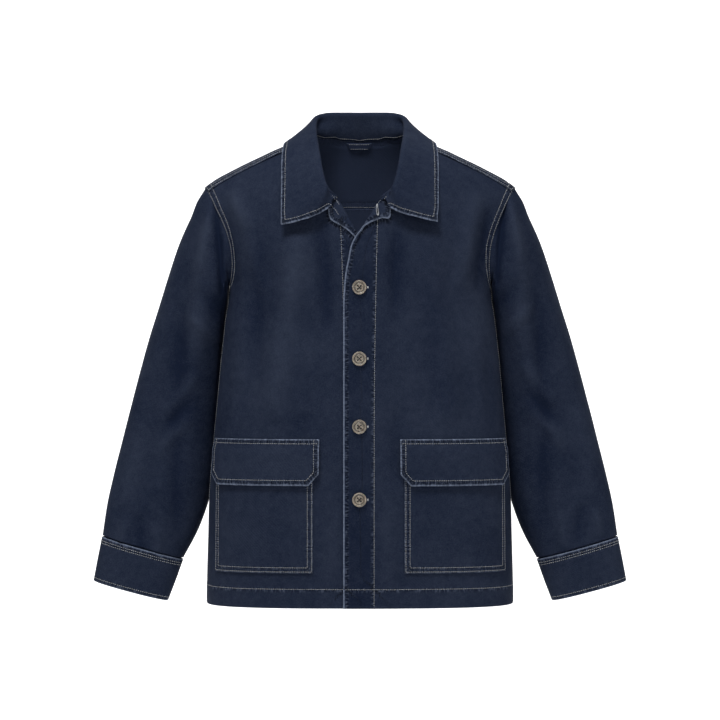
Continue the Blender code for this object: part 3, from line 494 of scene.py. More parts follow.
def edge_lines(grid, ring):
    """The open edges of a grid as named lines of points."""
    lines = {"start": grid[0], "end": grid[-1]}
    if ring:
        return {name: np.concatenate([line, line[:1]]) for name, line in lines.items()}
    lines["left"], lines["right"] = grid[:, 0], grid[:, -1]
    return lines


def distance_to(line, points):
    """Distance of points to a line, and how far along it the nearest place is."""
    length = lengths_along(line)
    along_it = np.arange(0.0, length[-1], 0.001)
    samples = read_at(line, length, along_it)
    tree = KDTree(len(samples))
    for k, sample in enumerate(samples):
        tree.insert(sample, k)
    tree.balance()
    found = [tree.find(point) for point in points.reshape(-1, 3)]
    shape = points.shape[:2]
    return (np.array([hit[2] for hit in found]).reshape(shape),
            np.array([along_it[hit[1]] for hit in found]).reshape(shape))


def panel(grid, away, step=0.003, rim=0.012, ring=False, thickness=CLOTH):
    """A piece of cloth as fine rows of points, with its edge distances and its normals, which look
    away from a point."""
    grid = np.asarray(grid, dtype=float)
    down = np.linalg.norm(np.diff(grid, axis=0), axis=2).sum(axis=0).mean()
    grid = curve_through(grid, even_places(down, step, rim))
    across = np.linalg.norm(np.diff(grid, axis=1), axis=2).sum(axis=1).mean()
    places = even_places(across, step, 0.0 if ring else rim)
    turned = np.swapaxes(grid, 0, 1)
    turned = curve_through(turned, places[:-1] if ring else places, ring)
    points = np.swapaxes(turned, 0, 1)
    normals = grid_normals(points, ring)
    if np.sum(normals * (points - np.asarray(away))) < 0:
        normals = -normals
    piece = {"points": points, "normals": normals, "ring": ring, "thickness": thickness,
             "edges": {}, "lift": np.zeros(points.shape[:2]), "down": down, "across": across}
    for name, line in edge_lines(points, ring).items():
        piece["edges"][name] = distance_to(line, points)
    far = np.full(points.shape[:2], 1.0)
    piece["edge"], piece["row"], piece["run"] = far.copy(), far.copy(), np.zeros_like(far)
    piece["fade_and_painted_light"] = np.zeros_like(far)
    return piece


UNWORN = 0.0021           # an edge that reads as this far away shows no wear


def rise(values, low, high):
    """The even rise of smooth for a whole array."""
    t = np.clip((values - low) / (high - low), 0.0, 1.0)
    return t * t * (3.0 - 2.0 * t)


def add_row(piece, field, level, run):
    """A row of stitches where a field has a level."""
    away = field - level
    closer = np.abs(away) < np.abs(piece["row"])
    piece["row"] = np.where(closer, away, piece["row"])
    piece["run"] = np.where(closer, run, piece["run"])


def seam(piece, edge, rows, width=0.0, height=0.0, worn=1.0):
    """A seam along an edge: rows of stitches at these distances, a raised band this wide, and
    how worn its very edge is, from 0 to 1."""
    distance, run = piece["edges"][edge]
    if width:
        piece["lift"] += height * (1.0 - rise(distance, width - 0.0015, width + 0.0025))
    piece["edge"] = np.minimum(piece["edge"], distance + (1.0 - worn) * UNWORN)
    for row in rows:
        add_row(piece, distance, row, run)


CREASE_DEPTH = 1.5        # of the heights in the tables


def creases(piece, table, fade_and_painted_light=1.0):
    """Soft folds between two places seen from in front: x, z, x, z, half width, height."""
    x, z = piece["points"][..., 0], piece["points"][..., 2]
    for x1, z1, x2, z2, width, height in table:
        span = np.array([x2 - x1, z2 - z1])
        t = ((x - x1) * span[0] + (z - z1) * span[1]) / span.dot(span)
        clipped = np.clip(t, 0.0, 1.0)
        off = np.hypot(x - x1 - clipped * span[0], z - z1 - clipped * span[1])
        shape = np.exp(-(off / width) ** 2) * np.sin(math.pi * np.clip(t * 0.84 + 0.08, 0, 1)) ** 0.7
        piece["lift"] += CREASE_DEPTH * height * shape
        # painted light: ridges are painted paler and troughs darker, in step with their height; the ridges'
        # paleness is partly wash wear and partly painted highlight, and the troughs' darkening is painted
        # shade
        piece["fade_and_painted_light"] += fade_and_painted_light * shape * height / 0.004


def outer(piece):
    """Points of a piece's outer face."""
    return piece["points"] + piece["normals"] * (piece["thickness"] / 2 + piece["lift"])[..., None]


def build_cloth(name, piece, material, inside=None):
    """Closed wall of a piece with rolled edges, its cloth chart and its fields."""
    points, normals, ring = piece["points"], piece["normals"], piece["ring"]
    rows, columns = points.shape[:2]
    half = piece["thickness"] / 2
    front = outer(piece)
    back = points - normals * half + normals * piece["lift"][..., None]
    count = rows * columns
    loop = [(0, j) for j in range(columns)]
    if ring:
        loops = [loop, [(rows - 1, j) for j in range(columns)][::-1]]
    else:
        loop += [(i, columns - 1) for i in range(1, rows)]
        loop += [(rows - 1, j) for j in range(columns - 2, -1, -1)]
        loop += [(i, 0) for i in range(rows - 2, 0, -1)]
        loops = [loop]
    vertices = [front.reshape(-1, 3), back.reshape(-1, 3)]
    source = [np.arange(count), np.arange(count)]
    faces = []
    for i in range(rows - 1):
        for j in range(columns if ring else columns - 1):
            k = (j + 1) % columns
            a, b, c, d = (i * columns + j, i * columns + k, (i + 1) * columns + k,
                          (i + 1) * columns + j)
            faces.append((a, b, c, d))
            faces.append((count + d, count + c, count + b, count + a))
    start = 2 * count
    for line in loops:
        middles = []
        for i, j in line:
            inner_i = min(max(i, 1), rows - 2)
            inner_j = j if ring else min(max(j, 1), columns - 2)
            middle = (front[i, j] + back[i, j]) / 2
            inner = (front[inner_i, inner_j] + back[inner_i, inner_j]) / 2
            middles.append(middle + unit(middle - inner) * half * 0.8)
        vertices.append(np.array(middles))
        index = [i * columns + j for i, j in line]
        source.append(np.array(index))
        for k in range(len(line)):
            n = (k + 1) % len(line)
            faces.append((index[n], index[k], start + k, start + n))
            faces.append((start + n, start + k, count + index[k], count + index[n]))
        start += len(line)
    vertices, source = np.concatenate(vertices), np.concatenate(source)
    mesh = bpy.data.meshes.new(name)
    mesh.from_pydata(vertices.tolist(), [], faces)
    mesh.materials.append(material)
    if inside:
        mesh.materials.append(inside)
        inner_face = np.array([min(face) >= count for face in faces])
        mesh.polygons.foreach_set("material_index", inner_face.astype(np.int32))
    for field in ("edge", "row", "run", "fade_and_painted_light"):
        values = mesh.attributes.new(field, "FLOAT", "POINT")
        values.data.foreach_set("value", piece[field].reshape(-1)[source].astype(np.float32))
    i, j = source // columns, source % columns
    chart = np.stack([j / columns * piece["across"], i / rows * piece["down"]], axis=1)
    layer = mesh.uv_layers.new(name="cloth")
    corner = np.zeros(len(mesh.loops), np.int32)
    mesh.loops.foreach_get("vertex_index", corner)
    layer.data.foreach_set("uv", chart[corner].reshape(-1).astype(np.float32))
    mesh.validate()
    mesh.shade_smooth()
    item = add_object(name, mesh)
    fix_direction(item)
    return item


def fix_direction(item):
    """Turn a closed mesh's faces outwards if its volume comes out negative."""
    mesh = item.data
    mesh.calc_loop_triangles()
    place = np.zeros(len(mesh.vertices) * 3)
    mesh.vertices.foreach_get("co", place)
    corners = np.zeros(len(mesh.loop_triangles) * 3, np.int32)
    mesh.loop_triangles.foreach_get("vertices", corners)
    a, b, c = np.swapaxes(place.reshape(-1, 3)[corners.reshape(-1, 3)], 0, 1)
    if np.sum(a * np.cross(b, c)) < 0:
        mesh.flip_normals()


STITCH_PITCH = 0.0033     # about eight stitches to the inch
STITCH_LENGTH = 0.0026
THREAD_RADIUS = 0.00034
STITCH_SIDES = 6


def contour(piece, field, level, lines):
    """Places where a field has a level, one on each grid line: points, normals, row and column."""
    face, normals = outer(piece), piece["normals"]
    if lines == "columns":
        field, face, normals = field.T, np.swapaxes(face, 0, 1), np.swapaxes(normals, 0, 1)
    found = []
    for k in range(len(field)):
        above = field[k] > level
        change = np.nonzero(above[1:] != above[:-1])[0]
        if len(change) == 0:
            continue
        i = change[0]
        t = (level - field[k][i]) / (field[k][i + 1] - field[k][i])
        found.append((k, i + t, face[k][i] * (1 - t) + face[k][i + 1] * t,
                      unit(normals[k][i] * (1 - t) + normals[k][i + 1] * t)))
    return found


def stitch_line(spots, closed=False, pitch=STITCH_PITCH):
    """Centre, direction and normal of each stitch along a line of places with their normals."""
    places, normals = (np.array(part) for part in zip(*spots))
    if closed:
        places = np.concatenate([places, places[:1]])
        normals = np.concatenate([normals, normals[:1]])
    length = lengths_along(places)
    count = max(1, int(length[-1] / pitch))
    at = (np.arange(count) + 0.5) * length[-1] / count
    middle, ahead, behind = (read_at(places, length, at + shift) for shift in (0.0, 0.0008, -0.0008))
    return list(zip(middle, ahead - behind, read_at(normals, length, at)))


def build_stitches(name, stitches, radius=THREAD_RADIUS, length=STITCH_LENGTH):
    """All stitches of a piece as one mesh; each is a short thread sunk at both ends."""
    rings = [(-0.5, 0.0, -0.7), (-0.40, 0.75, -0.2), (0.0, 1.0, 0.35), (0.40, 0.75, -0.2),
             (0.5, 0.0, -0.7)]
    vertices, faces = [], []
    for centre, direction, normal in stitches:
        along_it = unit(direction)
        side = unit(np.cross(normal, along_it))
        up = np.cross(along_it, side)
        first = len(vertices)
        for place, girth, lift in rings:
            middle = centre + along_it * length * place + up * radius * lift
            if girth == 0.0:
                vertices.append(middle)
                continue
            for k in range(STITCH_SIDES):
                turn = 2 * math.pi * k / STITCH_SIDES
                vertices.append(middle + (side * math.cos(turn) + up * math.sin(turn)) * radius * girth)
        last = len(vertices) - 1
        for k in range(STITCH_SIDES):
            n = (k + 1) % STITCH_SIDES
            faces.append((first, first + 1 + n, first + 1 + k))
            for ring in range(2):
                low, high = first + 1 + ring * STITCH_SIDES, first + 1 + (ring + 1) * STITCH_SIDES
                faces.append((low + k, low + n, high + n, high + k))
            faces.append((last, last - STITCH_SIDES + k, last - STITCH_SIDES + n))
    mesh = bpy.data.meshes.new(name)
    mesh.from_pydata([tuple(v) for v in vertices], [], faces)
    mesh.materials.append(ECRU_THREAD)
    mesh.shade_smooth()
    item = add_object(name, mesh)
    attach(item, "root")
    return item


def sew(piece, edge, distance, low=0.0, high=1.0, clear=()):
    """Stitches along an edge at a distance from it, between two shares of its length."""
    lines = "columns" if edge in ("start", "end") else "rows"
    field = piece["edges"][edge][0]
    found = contour(piece, field, distance, lines)
    total = piece["points"].shape[1 if lines == "columns" else 0]
    kept = []
    for k, i, place, normal in found:
        row, column = (i, k) if lines == "columns" else (k, i)
        if not low <= k / max(total - 1, 1) <= high:
            continue
        near = [piece["edges"][other][0][int(round(row)), int(round(column))] for other, _ in clear]
        if any(gap < need for gap, (_, need) in zip(near, clear)):
            continue
        kept.append((place, normal))
    if len(kept) < 2:
        return []
    return stitch_line(kept, closed=piece["ring"] and lines == "columns")


def sew_round(piece, edges, row, slack=0.0003):
    """Stitches along each of some edges, ended where they would cross the row of another."""
    stitches = []
    for edge in edges:
        clear = [(other, row - slack) for other in edges if other != edge]
        stitches += sew(piece, edge, row, clear=clear)
    return stitches


def fit(item, node):
    """A dressed piece stands for its frame node."""
    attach(item, "root")
    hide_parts(node)


# The strip along a front's edge is the placket; above it rolls open as a small lapel.
# rows: roll x, roll z, edge x, edge z, turn of the roll (degrees), its radius
LAPEL_OVER = [      # wearer's left front, which lies on top
    (-0.0165, -0.2319, -0.0245, -0.2319, 2, 0.0020),
    (-0.0150, -0.1960, -0.0218, -0.1960, 15, 0.0020),
    (-0.0105, -0.1710, -0.0168, -0.1700, 60, 0.0022),
    (-0.0055, -0.1480, -0.0120, -0.1490, 120, 0.0024),
    (0.0037, -0.1280, -0.0008, -0.1306, 175, 0.0026),
    (0.0112, -0.1173, 0.0127, -0.1194, 180, 0.0027),
    (0.0192, -0.1053, 0.0308, -0.1122, 180, 0.0028),
    (0.0260, -0.0952, 0.0438, -0.1097, 180, 0.0029),
    (0.0322, -0.0868, 0.0431, -0.0768, 180, 0.0030),
]
LAPEL_UNDER = [     # wearer's right front, below; both tables are written for a left front
    (-0.0165, -0.2319, -0.0245, -0.2319, 2, 0.0016),
    (-0.0130, -0.1960, -0.0200, -0.1960, 5, 0.0016),
    (-0.0075, -0.1680, -0.0140, -0.1680, 30, 0.0016),
    (-0.0010, -0.1470, -0.0060, -0.1500, 110, 0.0016),
    (0.0055, -0.1330, 0.0085, -0.1375, 180, 0.0016),
    (0.0148, -0.1160, 0.0180, -0.1285, 180, 0.0019),
    (0.0232, -0.1030, 0.0285, -0.1215, 180, 0.0023),
    (0.0290, -0.0935, 0.0450, -0.1096, 180, 0.0027),
    (0.0350, -0.0850, 0.0458, -0.0768, 180, 0.0030),
]
EDGE_X = 0.0245           # a front's edge beyond the centre line
STRIP = 0.008             # width of the strip that turns, below the lapel
STRIP_STEPS = np.linspace(1.0, 0.0, 16)   # its columns, from the edge to the roll


def front_lift(over, x, z):
    """The left front rides over the right one where they overlap; the right one gives way."""
    near = 1.0 - smooth(x, 0.030, 0.085)
    high = smooth(z, -0.215, -0.150) * (1.0 - smooth(z, -0.120, -0.070))
    if over:
        return near * (0.0024 + 0.0030 * high)
    return -0.0006 * near


def front_fold(x, z):
    """Soft folds of the fronts: how far the cloth stands out from the body's form."""
    depth = 0.0
    for centre, lean, low, high, width, height in FRONT_FOLDS:
        middle = centre + lean * (z - high)
        reach = smooth(z, low, low + 0.06) * (1.0 - smooth(z, high - 0.05, high))
        depth += height * reach * math.exp(-((x - middle) / width) ** 2)
    return depth


# folds: place across at the top, its lean, lowest and highest z, width, height
FRONT_FOLDS = [
    (0.092, -0.16, -0.445, -0.110, 0.022, 0.0045),
    (0.052, -0.05, -0.440, -0.130, 0.016, -0.0030),
    (0.135, -0.10, -0.445, -0.150, 0.020, -0.0028),
    (0.172, 0.15, -0.260, -0.060, 0.012, 0.0026),
    (0.150, -0.20, -0.700, -0.450, 0.045, 0.0020),
]


def front_point(over, girth, height, extra=0.0):
    """Middle point of a front, with its overlap and folds, and extra moved out."""
    step = 1e-4
    here = body(-1, girth, height)
    normal = np.cross(body(-1, girth + step, height) - here, body(-1, girth, height + step) - here)
    out = front_lift(over, here[0], here[2]) + front_fold(here[0], here[2]) + extra
    return here + unit(normal) * out


def strip_row(over, row):
    """One row of the placket strip or lapel, from its free edge to the roll."""
    roll_x, roll_z, edge_x, edge_z, turn, radius = row[:6]
    start = front_point(over, *pattern_place(roll_x, roll_z))
    normal = unit(front_point(over, *pattern_place(roll_x, roll_z), extra=0.001) - start)
    direction = row[6]
    sideways = unit(np.cross(normal, direction))
    turn = math.radians(turn)
    flat = front_point(over, *pattern_place(edge_x, edge_z))
    share = turn / math.pi
    rest_on = flat + normal * 2 * radius * share ** 2 * (1.0 if share > 0.5 else share * 2)
    arc_end = max(turn * radius, 1e-6)
    points = []
    for step in STRIP_STEPS:
        bend = arc_end * min(1.0, step * 5 / 3)
        curl = (start + sideways * radius * math.sin(bend / radius)
                + normal * radius * (1 - math.cos(bend / radius)))
        onward = max(0.0, (5 * step - 3) / 2)
        rolled = curl * (1 - onward) + rest_on * onward
        even = start * (1 - step) + rest_on * step
        roll = smooth(share, 0.15, 0.75)
        points.append(even * (1 - roll) + rolled * roll)
    return points


FRONT_ROWS_LOW = 24       # rows from the hem to the lapel's foot
LAPEL_ROWS = 29           # rows above it
SHOULDER_STEPS = denser(np.array([0.0, 0.16, 0.32, 0.48, 0.62, 0.74, 0.84, 0.92, 1.0]), 2)
NECK_STEPS = denser(np.array([0.0, 0.05, 0.11, 0.18, 0.28, 0.39]), 2)
SEAM_SHARE = 0.50         # columns up to here end at the neckline, the rest at the shoulder seam
FRONT_COLUMNS = np.concatenate([NECK_STEPS, SEAM_SHARE + (1 - SEAM_SHARE) * SHOULDER_STEPS])
LAPEL_FOOT_Z = LAPEL_OVER[0][1]


def shoulder_seam(share):
    """Girth and height along the front's shoulder seam, from the neck to the shoulder tip."""
    height = SHOULDER_ARC * SHOULDER_SEAM_TURN
    x = NECK_POINT_X + share * (ARMHOLE[-1][1] - NECK_POINT_X)
    return np.array([girth_at(x, height), height])


def armhole_place(side, share):
    """Girth and height on the armhole, from the armpit (0) to the shoulder seam (1)."""
    z = ARMPIT_Z + share * (ARMHOLE[-1][0] - ARMPIT_Z)
    x = lookup(ARMHOLE, 1 if side < 0 else 2, z)
    spot = pattern_place(x, z)
    if side < 0:
        spot = spot * (1 - smooth(share, 0.86, 1.0)) + shoulder_seam(1.0) * smooth(share, 0.86, 1.0)
    return spot


def lapel_rows(table, count):
    """The lapel table read at even steps, with the roll's direction added to each row."""
    keyed = [(key, *row) for key, row in enumerate(table)]
    rows = []
    for at in np.linspace(0, len(table) - 1, count):
        row = [lookup(keyed, column, at) for column in range(1, 7)]
        ahead = [lookup(keyed, column, min(at + 0.05, len(table) - 1)) for column in (1, 2)]
        behind = [lookup(keyed, column, max(at - 0.05, 0)) for column in (1, 2)]
        row.append(unit(body(-1, *pattern_place(*ahead)) - body(-1, *pattern_place(*behind))))
        rows.append(row)
    return rows


def front_grid(over):
    """Middle grid of a left front; the right one is its mirror image with the under table."""
    table = LAPEL_OVER if over else LAPEL_UNDER
    upper = lapel_rows(table, LAPEL_ROWS)
    grid = []
    for z in np.linspace(HEM_Z, LAPEL_FOOT_Z, FRONT_ROWS_LOW, endpoint=False):
        row = (-EDGE_X + STRIP, z, -EDGE_X, z, 2, 0.002, np.array([0.0, 0.0, 1.0]))
        line = strip_row(over, row)
        start = pattern_place(-EDGE_X + STRIP, z)
        end = np.array([1.0, z - ARMPIT_Z])
        line += [front_point(over, *(start + u * (end - start))) for u in FRONT_COLUMNS[1:]]
        grid.append(line)
    roll = [pattern_place(row[0], row[1]) for row in upper]
    neckline = [roll[-1]] + [pattern_place(x, z) for x, z in FRONT_NECKLINE[1:]]
    neckline[-1] = shoulder_seam(0.0)
    top = neckline + [shoulder_seam(t) for t in (0.25, 0.5, 0.75, 1.0)]
    foot = LAPEL_FOOT_Z - ARMPIT_Z
    side = [np.array([1.0, foot]), np.array([1.0, foot / 2])]
    side += [armhole_place(-1, t) for t in (0.0, 0.04, 0.09, 0.2, 0.35, 0.5, 0.65, 0.8, 0.9, 1.0)]
    rows = np.linspace(0.0, 1.0, LAPEL_ROWS)
    patch = blend_patch(
        lambda v: roll[int(round(v * (LAPEL_ROWS - 1)))], lambda v: along(side, v),
        lambda u: np.array([roll[0][0] + u * (1.0 - roll[0][0]), foot]),
        lambda u: (along(neckline, u / SEAM_SHARE) if u < SEAM_SHARE else
                   shoulder_seam((u - SEAM_SHARE) / (1 - SEAM_SHARE))),
        rows, FRONT_COLUMNS)
    for row, line in zip(upper, patch):
        grid.append(strip_row(over, row) + [front_point(over, *spot) for spot in line[1:]])
    return np.array(grid)


def mirrored(grid):
    return grid * np.array([-1.0, 1.0, 1.0])


def mirror_piece(piece):
    piece["points"], piece["normals"] = mirrored(piece["points"]), mirrored(piece["normals"])


def mirror_stitches(stitches):
    return [tuple(mirrored(part) for part in stitch) for stitch in stitches]


PLACKET_ROW_TOP = -0.108  # where the placket's row runs in under the collar and lapel
PLACKET_PAINTED_SHADE = 0.45    # painted shade: the placket is painted darker than the rest of the front
HEM_ROW = 0.028           # the hem's row above its foot
FELL_ROWS = (0.0018, 0.0086)   # twin rows of a felled seam
ARMHOLE_ROWS = (0.0022, 0.0105)   # and of the fronts at armhole and side
ARMHOLE_BAND = 0.0118     # width of the raised band that they hold down
PLACKET_EDGE_ROW = 0.0060   # where the placket's edge puckers over its facing
COVERED_ROW = 0.0030      # of an edge that lies below another piece
# row of the placket's inner edge: height, distance from the middle
PLACKET_ROW = [(-0.700, 0.0209), (-0.3825, 0.0211), (-0.300, 0.0220), (-0.170, 0.0245),
               (-0.080, 0.0268)]
UNDER_PLACKET_ROW = [(-0.700, 0.0215), (-0.300, 0.0235), (-0.205, 0.0255), (-0.115, 0.0290),
                     (-0.080, 0.0290)]
# soft folds of each front: x, z, x, z, half width, height; x is the distance from the middle
CREASES_OVER = [
    (0.176, -0.075, 0.150, -0.205, 0.012, 0.0030), (0.196, -0.095, 0.176, -0.215, 0.009, -0.0028),
    (0.057, -0.118, 0.052, -0.260, 0.013, -0.0030), (0.160, -0.200, 0.166, -0.330, 0.030, 0.0016),
    (0.112, -0.230, 0.108, -0.400, 0.016, -0.0014), (0.190, -0.300, 0.200, -0.430, 0.010, -0.0016),
    (0.046, -0.520, 0.040, -0.660, 0.012, 0.0012), (0.060, -0.380, 0.050, -0.500, 0.010, -0.0010),
]
CREASES_UNDER = [
    (0.1916, -0.068, 0.1720, -0.122, 0.011, 0.0036), (0.1720, -0.122, 0.1500, -0.215, 0.012, 0.0022),
    (0.2050, -0.100, 0.1850, -0.220, 0.009, -0.0022), (0.0956, -0.142, 0.1063, -0.279, 0.015, 0.0032),
    (0.1063, -0.279, 0.1308, -0.399, 0.017, 0.0024), (0.1540, -0.130, 0.1560, -0.340, 0.016, -0.0032),
    (0.0580, -0.118, 0.0470, -0.270, 0.012, -0.0036), (0.0800, -0.400, 0.1000, -0.440, 0.014, -0.0014),
    (0.1950, -0.280, 0.2060, -0.420, 0.010, -0.0014), (0.0420, -0.530, 0.0380, -0.660, 0.012, 0.0014),
]
FRONTS = {}

for side, over in (("left", True), ("right", False)):
    piece = panel(front_grid(over), (0.05, 0.0, -0.35))
    x, z = piece["points"][..., 0], piece["points"][..., 2]
    creases(piece, CREASES_OVER if over else CREASES_UNDER)
    seam(piece, "start", [HEM_ROW], HEM_ROW + 0.001, 0.0005, 0.6)
    seam(piece, "left", [PLACKET_EDGE_ROW], worn=1.35)
    seam(piece, "right", ARMHOLE_ROWS, ARMHOLE_BAND, 0.0006, 0.6)
    seam(piece, "end", [COVERED_ROW], worn=0.0)
    table = PLACKET_ROW if over else UNDER_PLACKET_ROW
    edge = np.interp(z, [row[0] for row in table], [row[1] for row in table])
    placket_field = np.where(z > PLACKET_ROW_TOP, 0.02, x - edge)
    add_row(piece, placket_field, 0.0, -z)
    piece["lift"] += 0.0004 * (1.0 - rise(placket_field, -0.001, 0.002))
    # painted shade: the placket below the lapel is painted darker
    piece["fade_and_painted_light"] -= PLACKET_PAINTED_SHADE * (1.0 - rise(placket_field, -0.004, 0.000))
    stitches = sew(piece, "start", HEM_ROW, clear=[("left", 0.002)])
    for row in ARMHOLE_ROWS:
        stitches += sew(piece, "right", row, 0.0, 0.975)
    placket = [(p, n) for _, _, p, n in contour(piece, placket_field, 0.0, "rows")
               if HEM_Z + 0.003 < p[2] < PLACKET_ROW_TOP - 0.004]
    stitches += stitch_line(placket)
    if not over:
        mirror_piece(piece)
        stitches = mirror_stitches(stitches)
    FRONTS[side] = build_cloth("front_" + side + "_cloth", piece, NAVY_TWILL)
    fit(FRONTS[side], "front_" + side)
    build_stitches("front_" + side + "_stitching", stitches)


# ==================================================================== back and yoke
# The back is one piece from hem to yoke seam; the yoke is cut double over the shoulders and felled
# down to it and to the fronts with two rows.
NECK_SHARE = 0.40         # columns up to here end at the neckline
HALF_BACK = np.concatenate([np.linspace(0.0, NECK_SHARE, 13)[:-1],
                            NECK_SHARE + (1 - NECK_SHARE) * SHOULDER_STEPS])
SHOULDER_TOP = SHOULDER_ARC * (math.pi - SHOULDER_SEAM_TURN)   # pattern height of the seam


def over_shoulder(girth, height):
    """Back of the body, carried on over the ridge and down the front to the shoulder seam."""
    ridge = SHOULDER_ARC * math.pi / 2
    if height <= ridge:
        return body(1, girth, height)
    return body(-1, girth, 2 * ridge - height)


def back_armhole(share):
    """Girth and height on the back's side of the armhole, from the armpit to the seam."""
    z = ARMPIT_Z + share * (ARMHOLE[-1][0] - ARMPIT_Z)
    spot = pattern_place(lookup(ARMHOLE, 2, z), z)
    onward = smooth(share, 0.80, 1.0)
    return spot * (1 - onward) + np.array([shoulder_seam(1.0)[0], SHOULDER_TOP]) * onward


def whole_width(half):
    """A half grid from the middle outwards, completed with its mirror image."""
    return np.concatenate([mirrored(half[:, :0:-1]), half], axis=1)


YOKE_END = 0.74           # share of the armhole at which the yoke seam meets it


def yoke_seam(share):
    """Girth and height on the yoke seam, from the centre back to the armhole."""
    end_z = ARMPIT_Z + YOKE_END * (ARMHOLE[-1][0] - ARMPIT_Z)
    x = share * lookup(ARMHOLE, 2, end_z)
    return pattern_place(x, YOKE_SEAM_Z + share ** 2 * (end_z - YOKE_SEAM_Z))


BACK_PATCH_Z = -0.250     # level rows of the back below, a patch up to the yoke seam above


def back_grid():
    rows = [[body(1, u, z - ARMPIT_Z) for u in HALF_BACK]
            for z in np.linspace(HEM_Z, BACK_PATCH_Z, 22, endpoint=False)]
    foot = BACK_PATCH_Z - ARMPIT_Z
    side = [np.array([1.0, foot]), np.array([1.0, foot / 2])]
    side += [back_armhole(t) for t in (0.0, 0.04, 0.09, 0.2, 0.35, 0.5, 0.62, YOKE_END)]
    patch = blend_patch(
        lambda v: np.array([0.0, foot + v * (yoke_seam(0.0)[1] - foot)]), lambda v: along(side, v),
        lambda u: np.array([u, foot]), yoke_seam, np.linspace(0.0, 1.0, 19), HALF_BACK)
    rows += [[body(1, *spot) for spot in line] for line in patch]
    return whole_width(np.array(rows))


def yoke_neckline(share):
    """Girth and height on the neckline of the yoke, from the centre back to the neck point."""
    spots = []
    for x, turn in YOKE_NECKLINE:
        height = SHOULDER_ARC * math.radians(turn)
        spots.append((girth_at(x, height), height))
    spots[-1] = (shoulder_seam(0.0)[0], SHOULDER_TOP)
    return along(spots, share)


# the yoke's neckline: distance from the middle, turn up and over the shoulder in degrees
YOKE_NECKLINE = [(0.0, 50.8), (0.030, 54.3), (0.055, 65.8), (0.068, 76.0), (0.0755, 88.0),
                 (NECK_POINT_X, 103.0)]


def yoke_grid():
    gap = np.array([0.0, 2 * SEAM_GAP])
    left = [yoke_seam(0.0) + gap, yoke_neckline(0.0)]
    right = [back_armhole(t) for t in (YOKE_END, 0.80, 0.85, 0.90, 0.95, 1.0)]
    right[0] = right[0] + gap

    def top(u):
        if u < NECK_SHARE:
            return yoke_neckline(u / NECK_SHARE)
        return shoulder_seam((u - NECK_SHARE) / (1 - NECK_SHARE)) * [1, 0] + [0, SHOULDER_TOP]

    patch = blend_patch(lambda v: along(left, v), lambda v: along(right, v),
                        lambda u: yoke_seam(u) + gap, top, np.linspace(0.0, 1.0, 19), HALF_BACK)
    patch[-1, :, 1] -= 2 * SEAM_GAP
    return whole_width(np.array([[over_shoulder(*spot) for spot in line] for line in patch]))


BACK_CREASES = [
    (-0.060, -0.125, -0.085, -0.330, 0.020, 0.0030), (0.066, -0.120, 0.082, -0.350, 0.018, 0.0026),
    (0.000, -0.160, 0.006, -0.400, 0.024, -0.0022), (-0.130, -0.110, -0.140, -0.290, 0.014, -0.0024),
    (0.136, -0.110, 0.138, -0.300, 0.014, -0.0026), (-0.170, -0.105, -0.186, -0.250, 0.011, 0.0028),
    (0.172, -0.100, 0.186, -0.260, 0.011, 0.0026), (-0.110, -0.420, -0.150, -0.640, 0.022, 0.0024),
    (0.100, -0.400, 0.128, -0.620, 0.024, 0.0022), (-0.030, -0.430, -0.026, -0.650, 0.018, 0.0016),
    (0.040, -0.470, 0.052, -0.670, 0.015, -0.0016), (0.180, -0.360, 0.196, -0.520, 0.012, -0.0020),
    (-0.184, -0.380, -0.196, -0.560, 0.012, -0.0018),
]
YOKE_CREASES = [
    (-0.120, -0.010, -0.150, -0.085, 0.014, 0.0014), (0.124, -0.010, 0.154, -0.085, 0.014, 0.0014),
    (-0.040, 0.000, -0.050, -0.080, 0.018, 0.0012), (0.030, 0.000, 0.044, -0.080, 0.020, 0.0010),
]

back_piece = panel(back_grid(), (0.0, 0.0, -0.35))
creases(back_piece, BACK_CREASES)
seam(back_piece, "start", [HEM_ROW], HEM_ROW + 0.001, 0.0005, 0.6)
for edge in ("left", "right", "end"):
    seam(back_piece, edge, [COVERED_ROW], worn=0.0)
back_item = build_cloth("back_cloth", back_piece, NAVY_TWILL, INSIDE_TWILL_PAINTED_LIGHT)
fit(back_item, "back")
build_stitches("back_stitching", sew(back_piece, "start", HEM_ROW))

SHOULDER_LAP = 0.0185     # the yoke's folded edge lies this far over the fronts
YOKE_END_SHARES = ((0.0, 0.31), (0.69, 1.0))   # of its front edge, on each side of the neck


def lapped_yoke():
    """Yoke grid carried on past the shoulder seams, over the top edges of the fronts."""
    grid = yoke_grid()
    last, before = grid[-1], grid[-2]
    middle = (len(last) - 1) / 2
    share = np.abs(np.arange(len(last)) - middle) / middle
    neck = (np.searchsorted(HALF_BACK, NECK_SHARE) - 0.5) / (len(HALF_BACK) - 1)
    reach = SHOULDER_LAP * rise(share, neck - 0.02, neck + 0.06)
    onward = unit_rows(last - before)
    rows = [row.copy() for row in grid]
    for part in (0.25, 0.5, 0.75, 1.0):
        row = []
        for point, way, far in zip(last, onward, reach):
            target = point + way * far * part
            front = FRONTS["left" if target[0] > 0 else "right"]
            _, place, normal, _ = front.closest_point_on_mesh(Vector(target))
            normal = np.array(normal)
            normal = normal if normal[2] > 0 else -normal
            over = np.array(place) + normal * (CLOTH / 2 + 0.0002)
            row.append(over if far > 0.001 else target + way * part * 0.0002)
        rows.append(np.array(row))
    raised = grid_normals(grid, False)[-1]
    raised = raised * np.sign(raised[:, 2:3])
    rows[len(grid) - 1] = last + raised * (0.0011 * (reach / SHOULDER_LAP))[:, None]
    return np.array(rows)


